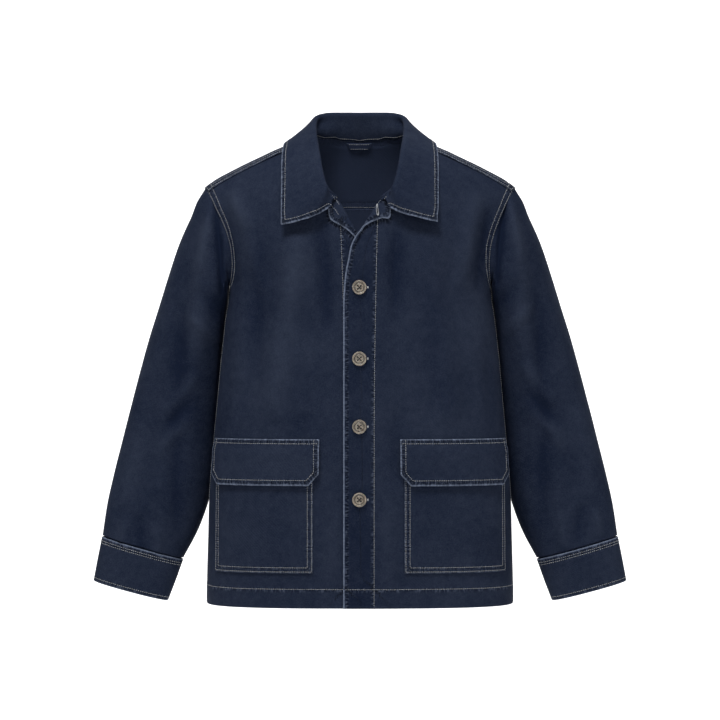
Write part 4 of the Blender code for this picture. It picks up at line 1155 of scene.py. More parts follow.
yoke_piece = panel(lapped_yoke(), (0.0, SHOULDER_Y, -0.10), step=0.0025)
creases(yoke_piece, YOKE_CREASES)
for edge in ("start", "left", "right", "end"):
    seam(yoke_piece, edge, FELL_ROWS, 0.0100, 0.0005, 0.6)
yoke_item = build_cloth("back_yoke_cloth", yoke_piece, NAVY_TWILL, INSIDE_TWILL_PAINTED_LIGHT)
fit(yoke_item, "back_yoke")
stitches = []
for row in FELL_ROWS:
    stitches += sew_round(yoke_piece, ("start", "left", "right"), row, 0.0004)
    clear = [("left", row - 0.0004), ("right", row - 0.0004)]
    for low, high in YOKE_END_SHARES:
        stitches += sew(yoke_piece, "end", row, low, high, clear=clear)
build_stitches("back_yoke_stitching", stitches)

# inside, the lower row comes out below the neck, along the folded edge of the yoke's lining
found = contour(yoke_piece, yoke_piece["edges"]["start"][0], FELL_ROWS[0], "columns")
inner = [(place - normal * (CLOTH + 0.0001), -normal) for _, _, place, normal in found]
build_stitches("back_yoke_inside_row", stitch_line(inner))


# ==================================================================== sleeves and cuffs
# One-piece sleeves with a felled seam under the arm, set into the armholes; each runs into a plain
# closed band of double cloth, stitched twice at its top and once near its foot.
CUFF_DOUBLE = 0.0024      # wall of a cuff's two layers
# rings of the left sleeve: outer x, outer z, inner x, inner z, middle y, half depth
SLEEVE_RINGS = [
    (0.2489, -0.0747, 0.1996, -0.2180, 0.006, 0.060),
    (0.2621, -0.1055, 0.1996, -0.2334, 0.012, 0.061),
    (0.2767, -0.1425, 0.2012, -0.2535, 0.020, 0.061),
    (0.2937, -0.1918, 0.2027, -0.2812, 0.029, 0.060),
    (0.3091, -0.2396, 0.2066, -0.3151, 0.036, 0.059),
    (0.3245, -0.2874, 0.2096, -0.3521, 0.041, 0.057),
    (0.3384, -0.3367, 0.2135, -0.3907, 0.044, 0.055),
    (0.3522, -0.3891, 0.2173, -0.4323, 0.045, 0.052),
    (0.3653, -0.4415, 0.2204, -0.4801, 0.044, 0.048),
    (0.3784, -0.4939, 0.2325, -0.5325, 0.040, 0.043),
    (0.3892, -0.5433, 0.2505, -0.5826, 0.036, 0.038),
    (0.3960, -0.5903, 0.2728, -0.6250, 0.032, 0.033),
]
CUFF_RINGS = [
    (0.3966, -0.5938, 0.2738, -0.6285, 0.032, 0.0335),
    (0.4031, -0.6265, 0.2852, -0.6605, 0.031, 0.0320),
    (0.4094, -0.6602, 0.2967, -0.6904, 0.030, 0.0300),
]
AROUND = 48               # points round a sleeve
SLEEVE_SECTION, CUFF_SECTION = 2.3, 2.2   # exponents of their sections
SLEEVE_START = 0.0012     # how far the sleeve stands off the armhole's edge


def ring_points(row, exponent=SLEEVE_SECTION):
    """Points of one ring, from its outer side round the front and back again."""
    outer_x, outer_z, inner_x, inner_z, middle_y, depth = row
    outer = np.array([outer_x, middle_y, outer_z])
    inner = np.array([inner_x, middle_y, inner_z])
    centre, reach = (outer + inner) / 2, (outer - inner) / 2
    points = []
    for k in range(AROUND):
        angle = 2 * math.pi * k / AROUND
        c = math.copysign(abs(math.cos(angle)) ** (2 / exponent), math.cos(angle))
        s = math.copysign(abs(math.sin(angle)) ** (2 / exponent), math.sin(angle))
        points.append(centre + reach * c + np.array([0.0, -depth * s, 0.0]))
    return np.array(points)


def armhole_ring():
    """Points of the armhole seam in the order of a sleeve ring's points."""
    points = []
    for k in range(AROUND):
        angle = 2 * math.pi * k / AROUND
        share = (1 + math.cos(angle)) / 2
        if angle <= math.pi:
            points.append(body(-1, *armhole_place(-1, share)))
        else:
            points.append(over_shoulder(*back_armhole(share)))
    return np.array(points)


def sleeve_fold(ring_share, angle):
    """Soft folds of a sleeve: a ridge down its front, a trough beside it."""
    ridge = math.exp(-((angle - 1.75) / 0.28) ** 2) * smooth(ring_share, 0.02, 0.2)
    ridge *= 1.0 - smooth(ring_share, 0.45, 0.75)
    trough = math.exp(-((angle - 1.20) / 0.30) ** 2) * smooth(ring_share, 0.15, 0.35)
    trough *= 1.0 - smooth(ring_share, 0.75, 0.98)
    return 0.0040 * ridge - 0.0045 * trough


def clear_of_body(point, margin):
    """Move a point of the left sleeve out sideways until it clears the body's side."""
    x, y, z = point
    side = -1 if y < 0 else 1
    if z > ARMPIT_Z:
        limit = lookup(ARMHOLE, 1 if side < 0 else 2, min(z, -0.12)) + margin
    else:
        half, front, back, power = body_size(z - ARMPIT_Z)
        depth = min(abs(y) / (front if side < 0 else back), 1.0)
        limit = half * (1 - depth ** power) ** (1 / power) + margin
    soft = 0.003
    if x - limit > 10 * soft:
        return point
    return np.array([limit + soft * math.log1p(math.exp((x - limit) / soft)), y, z])


SLEEVE_CLEARANCE = 0.0025


def sleeve_grid():
    armhole = armhole_ring()
    start = armhole + unit_rows(ring_points(SLEEVE_RINGS[0]) - armhole) * SLEEVE_START
    tip, pit = armhole[0], armhole[AROUND // 2]
    plain = ring_points((tip[0], tip[2], pit[0], pit[2], 0.004, 0.058))
    bend = armhole - plain
    rings = [np.array([clear_of_body(point, 0.0008) for point in start])]
    last = len(SLEEVE_RINGS) - 1
    for k, row in enumerate(SLEEVE_RINGS):
        keep = max(0.0, 1.0 - (k + 1) / 5.0) ** 1.3
        ring = ring_points(row) + bend * keep
        middle = ring.mean(axis=0)
        for j in range(AROUND):
            fold = sleeve_fold(k / last, 2 * math.pi * j / AROUND)
            ring[j] = clear_of_body(ring[j] + unit(ring[j] - middle) * fold, SLEEVE_CLEARANCE)
        rings.append(ring)
    return np.array(rings)


SLEEVE_CREASES = {
    "front": [
        (0.2190, -0.076, 0.2060, -0.205, 0.0065, -0.0058), (0.2050, -0.200, 0.2010, -0.320, 0.0110, -0.0026),
        (0.2265, -0.080, 0.2400, -0.170, 0.0080, 0.0034),
        (0.2410, -0.105, 0.2480, -0.305, 0.013, 0.0024), (0.2700, -0.230, 0.2830, -0.400, 0.013, -0.0030),
        (0.2830, -0.400, 0.2790, -0.570, 0.012, -0.0026), (0.3360, -0.400, 0.3540, -0.530, 0.018, 0.0022),
        (0.2500, -0.330, 0.2950, -0.385, 0.010, 0.0024), (0.2560, -0.372, 0.3060, -0.418, 0.009, -0.0022),
        (0.2640, -0.400, 0.3120, -0.452, 0.009, 0.0020), (0.3600, -0.548, 0.3660, -0.590, 0.008, 0.0026),
        (0.3380, -0.545, 0.3330, -0.600, 0.008, -0.0022), (0.3080, -0.560, 0.3100, -0.610, 0.008, 0.0018),
        (0.2120, -0.240, 0.2440, -0.200, 0.010, -0.0020), (0.2200, -0.280, 0.2620, -0.235, 0.010, 0.0020),
    ],
    "back": [
        (0.2500, -0.100, 0.2780, -0.260, 0.014, 0.0026), (0.2500, -0.300, 0.3000, -0.345, 0.010, 0.0026),
        (0.2560, -0.345, 0.3120, -0.380, 0.009, -0.0026), (0.2640, -0.385, 0.3220, -0.428, 0.010, 0.0024),
        (0.3000, -0.430, 0.3260, -0.560, 0.014, -0.0024), (0.3400, -0.440, 0.3580, -0.570, 0.012, 0.0020),
        (0.3080, -0.555, 0.3120, -0.612, 0.008, 0.0020),
    ],
}
SLEEVE_SHIFT = {"left": 0.0, "right": 0.014}   # the right sleeve's folds sit a little lower
SLEEVE_CUT, SLEEVE_AREA = (0.430, 0.600), 0.190
CUFF_CUT, CUFF_AREA = (0.300, 0.068), 0.0204
SLEEVE_PAINTED_SHADE = 0.20     # painted shade: the sleeves are painted a little darker than the fronts
SLEEVE_HEAD_Z, SLEEVE_HEAD_DROP = -0.088, 0.0036   # the head lies a little flatter there
SLEEVE_HEAD_SPREAD = 0.038
SLEEVE_SEAM_TURN = 0.60   # share of the way round, on the inner side towards the back
SLEEVE_SEAM_MIDDLE = 0.005   # from its folded edge
CUFF_ROWS, CUFF_FOOT_ROW = (0.0050, 0.0086), 0.0048


def sleeve_with_allowance():
    """Sleeve grid with its seam allowance: a strip turned in under the edge of the armhole."""
    armhole = armhole_ring()
    chest = np.array([0.0, SHOULDER_Y, ARMPIT_Z])
    inward = unit_rows(chest * [0, 1, 1] + armhole * [1, 0, 0] - armhole)
    inside = armhole + inward * (CLOTH + 0.0012) + np.array([-0.0065, 0.0, 0.0])
    middle = armhole + inward * (CLOTH + 0.0003) + np.array([-0.0020, 0.0, 0.0])
    return np.concatenate([[inside, middle], sleeve_grid()])


def side_creases(piece, tables, drop):
    """Creases for the front half and the back half of a tube."""
    facing = piece["normals"][..., 1]
    for key, sign in (("front", -1.0), ("back", 1.0)):
        rows = [(a, b - drop, c, d - drop, e, f) for a, b, c, d, e, f in tables[key]]
        before_lift, before_fade_and_painted_light = piece["lift"].copy(), piece["fade_and_painted_light"].copy()
        creases(piece, rows)
        shows = rise(facing * sign, -0.1, 0.35)
        piece["lift"] = before_lift + (piece["lift"] - before_lift) * shows
        piece["fade_and_painted_light"] = before_fade_and_painted_light + (piece["fade_and_painted_light"] - before_fade_and_painted_light) * shows


for side in ("left", "right"):
    piece = panel(sleeve_with_allowance(), (0.29, 0.03, -0.35), ring=True)
    side_creases(piece, SLEEVE_CREASES, SLEEVE_SHIFT[side])
    beside = rise(piece["normals"][..., 0], 0.15, 0.75)
    below = np.exp(-((piece["points"][..., 2] - SLEEVE_HEAD_Z) / SLEEVE_HEAD_SPREAD) ** 2)
    piece["lift"] -= SLEEVE_HEAD_DROP * beside * below
    # painted shade over the whole sleeve
    piece["fade_and_painted_light"] -= SLEEVE_PAINTED_SHADE
    seam(piece, "start", [], worn=0.0)
    seam(piece, "end", [], worn=0.0)
    turn = np.arange(piece["points"].shape[1])[None, :] / piece["points"].shape[1]
    away = (turn - SLEEVE_SEAM_TURN) * piece["across"] + 0 * piece["lift"]
    run = piece["edges"]["start"][0]
    stitches = []
    for at in (row - SLEEVE_SEAM_MIDDLE for row in FELL_ROWS):
        add_row(piece, away, at, run)
        stitches += stitch_line([(p, n) for _, _, p, n in contour(piece, away, at, "rows")])
    piece["lift"] += 0.0005 * (1.0 - rise(np.abs(away), 0.0045, 0.0080))
    cuff = panel([ring_points(row, CUFF_SECTION) for row in CUFF_RINGS], (0.34, 0.03, -0.65), step=0.002,
                 rim=0.0, ring=True, thickness=CUFF_DOUBLE)
    seam(cuff, "start", CUFF_ROWS, worn=1.0)
    seam(cuff, "end", [CUFF_FOOT_ROW], worn=0.7)
    cuff_stitches = [stitch for row in CUFF_ROWS for stitch in sew(cuff, "start", row)]
    cuff_stitches += sew(cuff, "end", CUFF_FOOT_ROW)
    for part, tube, rows, cut, area in (("sleeve_", piece, stitches, SLEEVE_CUT, SLEEVE_AREA),
                                        ("cuff_", cuff, cuff_stitches, CUFF_CUT, CUFF_AREA)):
        if side == "right":
            mirror_piece(tube)
            rows = mirror_stitches(rows)
        item = build_cloth(part + side + "_cloth", tube, NAVY_TWILL, INSIDE_TWILL_PAINTED_LIGHT)
        fit(item, part + side)
        build_stitches(part + side + "_stitching", rows)


# ==================================================================== collar
# A one-piece convertible collar of double cloth: it stands up from the neck seam, rolls over and
# lies on the yoke and fronts in two long points, with one row of stitches round its leaf.
DOUBLE = 0.0024           # wall of the two-layer collar
# crest of the collar's roll, from the centre back to its front end: share, x, y, z, radius
COLLAR_ROLL = [
    (0.000, 0.0000, 0.0620, 0.0620, 0.0040), (0.100, 0.0300, 0.0605, 0.0620, 0.0040),
    (0.190, 0.0525, 0.0520, 0.0605, 0.0038), (0.270, 0.0645, 0.0370, 0.0545, 0.0036),
    (0.385, 0.0675, 0.0080, 0.0400, 0.0034), (0.500, 0.0662, -0.0280, 0.0200, 0.0032),
    (0.620, 0.0628, -0.0600, 0.0000, 0.0030), (0.740, 0.0585, -0.0872, -0.0260, 0.0028),
    (0.850, 0.0534, -0.1070, -0.0500, 0.0026), (0.930, 0.0488, -0.1178, -0.0642, 0.0022),
    (1.000, 0.0442, -0.1184, -0.0745, 0.0016),
]
# outer edge of its leaf: share, x, turn up and over the shoulder in degrees
COLLAR_EDGE = [
    (0.00, 0.0000, 46.0), (0.10, 0.0360, 50.3), (0.19, 0.0680, 62.0), (0.27, 0.0930, 75.0),
    (0.36, 0.1120, 92.0), (0.45, 0.1165, 108.0), (0.60, 0.1178, 123.8), (0.75, 0.1174, 137.3),
    (0.90, 0.1176, 150.6), (1.00, 0.1180, 158.1),
]
COLLAR_REST = 0.0046      # the leaf's middle lies this far above the body's form
NECK_COLUMNS = 12         # columns of half the yoke's neckline
COLLAR_STEP = 0.009       # widest column of the collar along the neck seam
COLLAR_END_SHIFT = np.array([0.0, -0.0047, 0.0024])      # its open end lies on the lapel
COLLAR_CORNER = np.array([0.0012, -0.0078, -0.0222])     # from its seam to its inner front corner
LEAF_BOW = np.array([0.0, 0.0, -0.0056])   # how far its front edge bows down, twice over


def neck_seam(over):
    """Points of the neckline from the centre back to the lapel's end, and the way on from them."""
    yoke, front = yoke_grid(), front_grid(over)
    middle = yoke.shape[1] // 2
    neck_column = len(STRIP_STEPS) - 1 + len(NECK_STEPS)
    points = np.concatenate([yoke[-1][middle:middle + NECK_COLUMNS], front[-1][neck_column::-1]])
    normals = np.concatenate([-grid_normals(yoke, False)[-1][middle:middle + NECK_COLUMNS],
                              grid_normals(front, False)[-1][neck_column::-1]])
    if normals[0][1] < 0:
        normals[:NECK_COLUMNS] = -normals[:NECK_COLUMNS]
    if normals[-NECK_COLUMNS][1] > 0:
        normals[NECK_COLUMNS:] = -normals[NECK_COLUMNS:]
    return points, unit_rows(np.cross(np.gradient(points, axis=0), normals))


CHEST_HALF = 0.198        # half width of the body's form under the shoulders
CHEST_FRONT = 0.115       # its depth in front of the middle
CHEST_BACK = 0.103        # and behind it


def above_body(point, rest):
    """Move a point out from the middle of the chest until it is rest above the body's form."""
    x, y, z = point
    centre = np.array([x, SHOULDER_Y, ARMPIT_Z])
    reach = point - centre
    ridge = lookup(SHOULDER_RIDGE, 1, abs(x)) - ARMPIT_Z
    across = min(abs(x) / (CHEST_HALF + 0.8 * UPPER_GROWTH), 1.0)
    angle = math.asin(across ** (UPPER_SECTION / 2))
    depth = CHEST_FRONT + SHOULDER_Y if y < SHOULDER_Y else CHEST_BACK - SHOULDER_Y
    depth *= math.cos(angle) ** (2 / UPPER_SECTION)
    size = ((max(z - ARMPIT_Z, 0) / ridge) ** UPPER_ROUND
            + (abs(y - SHOULDER_Y) / depth) ** UPPER_ROUND) ** (1 / UPPER_ROUND)
    needed = 1 / size + rest / np.linalg.norm(reach)
    return centre + reach * max(1.0, needed)


def collar_edge(share):
    """Point on the body's form below the leaf's outer edge."""
    x, turn = (lookup(COLLAR_EDGE, column, share) for column in (1, 2))
    height = SHOULDER_ARC * math.radians(turn)
    return over_shoulder(girth_at(x, min(height, SHOULDER_ARC * math.pi - height)), height)


def collar_half(over):
    """Middle grid of one half of the collar, a column for each place along the neck seam."""
    seam, onward = neck_seam(over)
    steps = lengths_along(seam)
    length = steps[-1]
    steps /= length
    columns, shares = [], [0.0]
    for start, end in zip(steps[:-1], steps[1:]):
        parts = max(1, round((end - start) * length / COLLAR_STEP))
        shares += [start + (end - start) * part / parts for part in range(1, parts + 1)]
    for share in shares:
        base = read_at(seam, steps, share)
        way = unit(read_at(onward, steps, share))
        end = smooth(share, 0.93, 1.0)
        base = base + way * 3 * SEAM_GAP + COLLAR_END_SHIFT * end
        crest, ahead, behind = (np.array([lookup(COLLAR_ROLL, k, at) for k in (1, 2, 3)]) for at in
                                (share, min(share + 0.02, 1.0), max(share - 0.02, 0.0)))
        radius = lookup(COLLAR_ROLL, 4, share)
        edge = above_body(collar_edge(share), COLLAR_REST)
        up = unit(crest - edge)
        run = unit(ahead - behind)
        up = unit(up - run * float(np.dot(up, run)))
        out = np.cross(up, run)
        if np.dot(out, edge - np.array([0.0, SHOULDER_Y, ARMPIT_Z])) < 0:
            out = -out
        centre = crest - up * radius
        arc = [centre + (up * math.sin(t) - out * math.cos(t)) * radius
               for t in np.linspace(0.0, math.pi, 9)]
        reach = np.linalg.norm(arc[0] - base)
        pull = base + way * 0.45 * reach
        push = arc[0] - up * 0.35 * reach
        stand = [(1 - t) ** 3 * base + 3 * (1 - t) ** 2 * t * pull + 3 * (1 - t) * t ** 2 * push
                 + t ** 3 * arc[0] for t in (0.0, 0.165, 0.33, 0.5, 0.66, 0.83)]
        leaf = [above_body(arc[-1] + t * (edge - arc[-1]), COLLAR_REST)
                for t in np.linspace(0.1, 1.0, 10)]
        profile = stand + arc + leaf
        corner = base + COLLAR_CORNER
        bow = (corner + edge) / 2 + LEAF_BOW
        open_end = [base + (corner - base) * t
                    for t in np.linspace(0.0, 1.0, COLLAR_CORNER_POINT + 1)[:-1]]
        open_end += [(1 - t) ** 2 * corner + 2 * (1 - t) * t * bow + t ** 2 * edge
                     for t in np.linspace(0.0, 1.0, len(profile) - COLLAR_CORNER_POINT)]
        columns.append([(1 - end) * a + end * b for a, b in zip(profile, open_end)])
    return np.array(columns)


COLLAR_ROW = 0.0060       # its row of stitches, from the edge
COLLAR_FOOT_ROW = 0.0022  # and the row that sews it to the neck seam
COLLAR_CORNER_POINT = 7   # of a half's last column
LEAF_EDGES = ("start", "end", "right")


def stand_off(half, lift):
    """A collar half whose leaf curves up off the shoulders towards the point at its front."""
    along_leaf = np.arange(half.shape[1]) / (half.shape[1] - 1)
    along_seam = np.arange(half.shape[0]) / (half.shape[0] - 1)
    reach = rise(along_leaf, 0.25, 0.75)[None, :] * rise(along_seam, 0.45, 0.95)[:, None]
    return half + reach[..., None] * np.array(lift)


# how far each leaf's point stands off its place on the solid
LEFT_LEAF_LIFT, RIGHT_LEAF_LIFT = (-0.0030, -0.0120, 0.0005), (-0.0010, -0.0120, -0.0042)
left_half = stand_off(collar_half(True), LEFT_LEAF_LIFT)
right_half = mirrored(stand_off(collar_half(False), RIGHT_LEAF_LIFT))
collar_piece = panel(np.concatenate([right_half[:0:-1], left_half]), (0.0, 0.0, -0.3), step=0.0022,
                     thickness=DOUBLE)
if collar_piece["normals"][len(collar_piece["normals"]) // 2, -3, 1] < 0:
    collar_piece["normals"] = -collar_piece["normals"]
# the leaf is free from its inner corner on; up to there the collar is sewn to the lapel
for edge, half in (("start", right_half), ("end", left_half)):
    line = edge_lines(collar_piece["points"], False)[edge]
    corner = np.argmin(np.linalg.norm(line - half[-1][COLLAR_CORNER_POINT], axis=1))
    collar_piece["edges"][edge] = distance_to(line[corner:], collar_piece["points"])
for edge in LEAF_EDGES:
    seam(collar_piece, edge, [COLLAR_ROW / 2, COLLAR_ROW], COLLAR_ROW + 0.0005, 0.0003, 1.2)
seam(collar_piece, "left", [], worn=0.0)
collar_item = build_cloth("collar_cloth", collar_piece, NAVY_TWILL)
fit(collar_item, "collar")
stitches = sew(collar_piece, "left", COLLAR_FOOT_ROW, 0.02, 0.98)
build_stitches("collar_stitching", stitches + sew_round(collar_piece, LEAF_EDGES, COLLAR_ROW))


# ==================================================================== pockets and flaps
# Two patch pockets with twin rows down their sides and foot, each under a separate flap of double
# cloth with cut corners, sewn across its top edge and stitched round.
LAYER = CLOTH + 0.0008    # from the middle of one layer to the middle of the next
# inner edge, outer edge, top, bottom of a pocket on the wearer's left and right front
POCKETS = {"left": (0.0665, 0.2172, -0.4530, -0.6375), "right": (0.0705, 0.2160, -0.4530, -0.6375)}
FLAPS = {"left": (0.0602, 0.2195, -0.4400, -0.5080), "right": (0.0612, 0.2190, -0.4400, -0.5075)}
FLAP_CORNER_WIDE, FLAP_CORNER_HIGH = 0.0125, 0.0165


def patch_on_front(over, sizes, columns, rows, rest, corner=False):
    """Grid of a panel that lies on a front; rest is its height above it at a place."""
    inner, outer, top, bottom = sizes
    grid = []
    for v in rows:
        line = []
        for u in columns:
            foot = bottom
            if corner:
                side = min(u, 1 - u) * (outer - inner)
                foot += FLAP_CORNER_HIGH * max(0.0, 1 - side / FLAP_CORNER_WIDE)
            z = top + v * (foot - top)
            start, end = pattern_place(inner, z), pattern_place(outer, z)
            line.append(front_point(over, *(start + u * (end - start)), extra=rest(u, v)))
        grid.append(line)
    return np.array(grid)


def pocket_rest(u, v):
    """A patch pocket lies close at its seams and stands out a little between them."""
    return LAYER + 0.0014 * math.sin(math.pi * u) ** 0.5 * math.sin(math.pi * min(v, 0.98)) ** 0.5


def flap_rest(u, v):
    """A flap is sewn on above the pocket and hangs over its mouth."""
    return LAYER + 0.0008 + (LAYER + 0.0016) * smooth(v, 0.0, 0.35)


FLAP_STAND_OFF = 0.0022   # further that a flap's foot hangs away from the pocket
POCKET_TURN_IN = 0.0040   # their outer edges turn in this much where they meet the side
FREE_EDGES = ("left", "right", "end")
POCKET_ROWS = (0.0015, 0.0076)
FLAP_ROW, FLAP_TOP_ROW = 0.0072, 0.0062
POCKET_CUT, FLAP_CUT, FLAP_AREA = (0.175, 0.200), (0.180, 0.078), 0.0138

pocket_columns = np.linspace(0.0, 1.0, 24)
corner_share = FLAP_CORNER_WIDE / (FLAPS["left"][1] - FLAPS["left"][0])
flap_columns = np.concatenate([np.linspace(0.0, corner_share, 5)[:-1],
                               np.linspace(corner_share, 1 - corner_share, 22),
                               np.linspace(1 - corner_share, 1.0, 5)[1:]])
for side in ("left", "right"):
    over = side == "left"
    pocket_size = (POCKETS[side][0], POCKETS[side][1] - 0.6 * POCKET_TURN_IN, *POCKETS[side][2:])
    flap_size = (FLAPS[side][0], FLAPS[side][1] - POCKET_TURN_IN, *FLAPS[side][2:])
    pocket = patch_on_front(over, pocket_size, pocket_columns, np.linspace(0, 1, 20), pocket_rest)
    flap = patch_on_front(over, flap_size, flap_columns, np.linspace(0, 1, 14),
                          lambda u, v: flap_rest(u, v) + FLAP_STAND_OFF * v ** 2, True)
    pocket = panel(pocket, (0.14, 0.0, -0.55), step=0.0028, rim=0.012)
    flap = panel(flap, (0.14, 0.0, -0.47), step=0.0020, rim=0.012, thickness=DOUBLE)
    for edge in FREE_EDGES:
        seam(pocket, edge, POCKET_ROWS, 0.0090, 0.0004, 0.7)
        seam(flap, edge, [FLAP_ROW / 2, FLAP_ROW], 0.0080, 0.0003, 1.1)
    seam(flap, "start", [FLAP_TOP_ROW / 2, FLAP_TOP_ROW], 0.0070, 0.0002, 0.9)
    seam(pocket, "start", [], worn=0.0)
    stitches = [stitch for row in POCKET_ROWS for stitch in sew_round(pocket, FREE_EDGES, row)]
    flap_stitches = sew(flap, "start", FLAP_TOP_ROW, clear=[("left", 0.001), ("right", 0.001)])
    flap_stitches += sew_round(flap, FREE_EDGES, FLAP_ROW)
    for part, patch, rows, cut, area in (("pocket_", pocket, stitches, POCKET_CUT, None),
                                         ("flap_", flap, flap_stitches, FLAP_CUT, FLAP_AREA)):
        if not over:
            mirror_piece(patch)
            rows = mirror_stitches(rows)
        item = build_cloth(part + side + "_cloth", patch, NAVY_TWILL)
        fit(item, part + side)
        build_stitches(part + side + "_stitching", rows)


# ==================================================================== buttons and buttonholes
# Four turned buttons of pressed horn, dished, with four holes, each sewn to the front below it with
# navy thread on a short shank and drawn through a bound buttonhole that ends in an ecru bar tack.
BUTTON_HEIGHTS = (-0.2134, -0.3195, -0.4205, -0.5288)
BUTTON_X = -0.0010
# a button's turned profile: radius, height above the cloth
HORN_PROFILE = [
    (0.0001, 0.0010), (0.0050, 0.0010), (0.0078, 0.0010), (0.0092, 0.0014), (0.0101, 0.0020),
    (0.0106, 0.0027), (0.0106, 0.0033), (0.0102, 0.0038), (0.0096, 0.0041), (0.0090, 0.0040),
    (0.0085, 0.0034), (0.0079, 0.0027), (0.0072, 0.0024), (0.0066, 0.0027), (0.0060, 0.0031),
    (0.0053, 0.0030), (0.0045, 0.0026), (0.0030, 0.0024), (0.0001, 0.0024),
]
HORN_SIDES = 64
HOLE_PLACE, HOLE_RADIUS = 0.0042, 0.00115
GROOVE_RADIUS = 0.0070    # of the turned groove inside the rim
BUTTON_STAND_OFF = 0.0006   # its shank holds it this far clear of the cloth
TACK_X = 0.0117           # bar tack at the buttonhole's end, from the middle


def pressed_horn():
    """Pressed horn, polished: mottled beige and grey-brown clouds, with a clear soft gloss, and
    painted shade: darker in the turned groove, where shade falls."""
    material, tree, output = new_material("pressed_horn")
    place = add_node(tree, "NewGeometry", output="Position")
    cloud = add_node(tree, "TexNoise", {"Vector": place, "Scale": 260.0, "Detail": 4.0,
                                        "Roughness": 0.6, "Distortion": 1.2})
    streak = add_node(tree, "TexNoise", {"Vector": place, "Scale": 420.0, "Detail": 3.0})
    mixed = add_node(tree, "Math", {0: streak, 1: 0.35, 2: cloud}, operation="MULTIPLY_ADD")
    share = add_node(tree, "MapRange", {"Value": mixed, "From Min": 0.46, "From Max": 0.80})
    clouded = add_node(tree, "Mix", {"Factor": share, 6: linear("#6e655c"), 7: linear("#d2c6b6")}, 2,
                       data_type="RGBA")
    # painted shade: the horn is mixed towards a dark brown in the turned groove
    radius = add_node(tree, "Attribute", output="Fac", attribute_name="radius")
    from_groove = add_node(tree, "Math", {0: radius, 1: GROOVE_RADIUS}, operation="SUBTRACT")
    from_groove = add_node(tree, "Math", {0: from_groove}, operation="ABSOLUTE")
    groove = add_node(tree, "MapRange", {"Value": from_groove, "From Min": 0.0002,
                                         "From Max": 0.0018, "To Min": 0.62, "To Max": 0.0},
                      interpolation_type="SMOOTHSTEP")
    tint = add_node(tree, "Mix", {"Factor": groove, 6: clouded, 7: linear("#2c2724")}, 2,
                    data_type="RGBA")
    shader = add_node(tree, "BsdfPrincipled", {
        "Base Color": tint, "Roughness": 0.28, "Specular IOR Level": 0.5, "Coat Weight": 0.3,
        "Coat Roughness": 0.15, "Subsurface Weight": 0.05, "Subsurface Scale": 0.001})
    tree.links.new(shader, output.inputs["Surface"])
    return material


def look_along_y(item, x, z):
    """Nearest place of an object seen from in front, and the way its face looks there."""
    hit, place, normal, _ = item.ray_cast(Vector((x, -0.6, z)), Vector((0.0, 1.0, 0.0)))
    return (np.array(place), np.array(normal)) if hit else None


def lathe(profile, sides):
    """Closed turned form about Z: points and faces."""
    points, faces = [], []
    for radius, height in profile:
        for k in range(sides):
            turn = 2 * math.pi * k / sides
            points.append((radius * math.cos(turn), radius * math.sin(turn), height))
    for ring in range(len(profile) - 1):
        for k in range(sides):
            n = (k + 1) % sides
            a, b = ring * sides, (ring + 1) * sides
            faces.append((a + k, a + n, b + n, b + k))
    faces.append(tuple(range(sides - 1, -1, -1)))
    faces.append(tuple(range((len(profile) - 1) * sides, len(profile) * sides)))
    return points, faces


def new_item(name, points, faces, material):
    """A mesh object in the scene, shaded smooth."""
    mesh = bpy.data.meshes.new(name)
    mesh.from_pydata([tuple(point) for point in points], [], faces)
    mesh.materials.append(material)
    mesh.validate()
    mesh.shade_smooth()
    return add_object(name, mesh)


PRESSED_HORN = pressed_horn()
NAVY_THREAD = cotton_thread("navy_cotton_thread", 0.75, "#1b2029")
under_button = FRONTS["left"]

drill_points, drill_faces = [], []
for hole_x in (-HOLE_PLACE / 2, HOLE_PLACE / 2):
    for hole_y in (-HOLE_PLACE / 2, HOLE_PLACE / 2):
        points, faces = lathe([(HOLE_RADIUS, -0.002), (HOLE_RADIUS, 0.006)], 20)
        first = len(drill_points)
        drill_points += [(x + hole_x * 1.1, y + hole_y * 1.1, z) for x, y, z in points]
        drill_faces += [tuple(first + k for k in face) for face in faces]
drill = new_item("drill", drill_points, drill_faces, PRESSED_HORN)
blank = new_item("blank", *lathe(HORN_PROFILE, HORN_SIDES), PRESSED_HORN)
cut = blank.modifiers.new("holes", "BOOLEAN")
cut.operation, cut.solver, cut.object = "DIFFERENCE", "EXACT", drill
evaluated = blank.evaluated_get(bpy.context.evaluated_depsgraph_get())
drilled = bpy.data.meshes.new_from_object(evaluated)
drilled.set_sharp_from_angle(angle=math.radians(40))
turned_radius = drilled.attributes.new("radius", "FLOAT", "POINT")
turned_radius.data.foreach_set("value", [vertex.co.xy.length for vertex in drilled.vertices])
for used in (drill, blank):
    bpy.data.objects.remove(used, do_unlink=True)

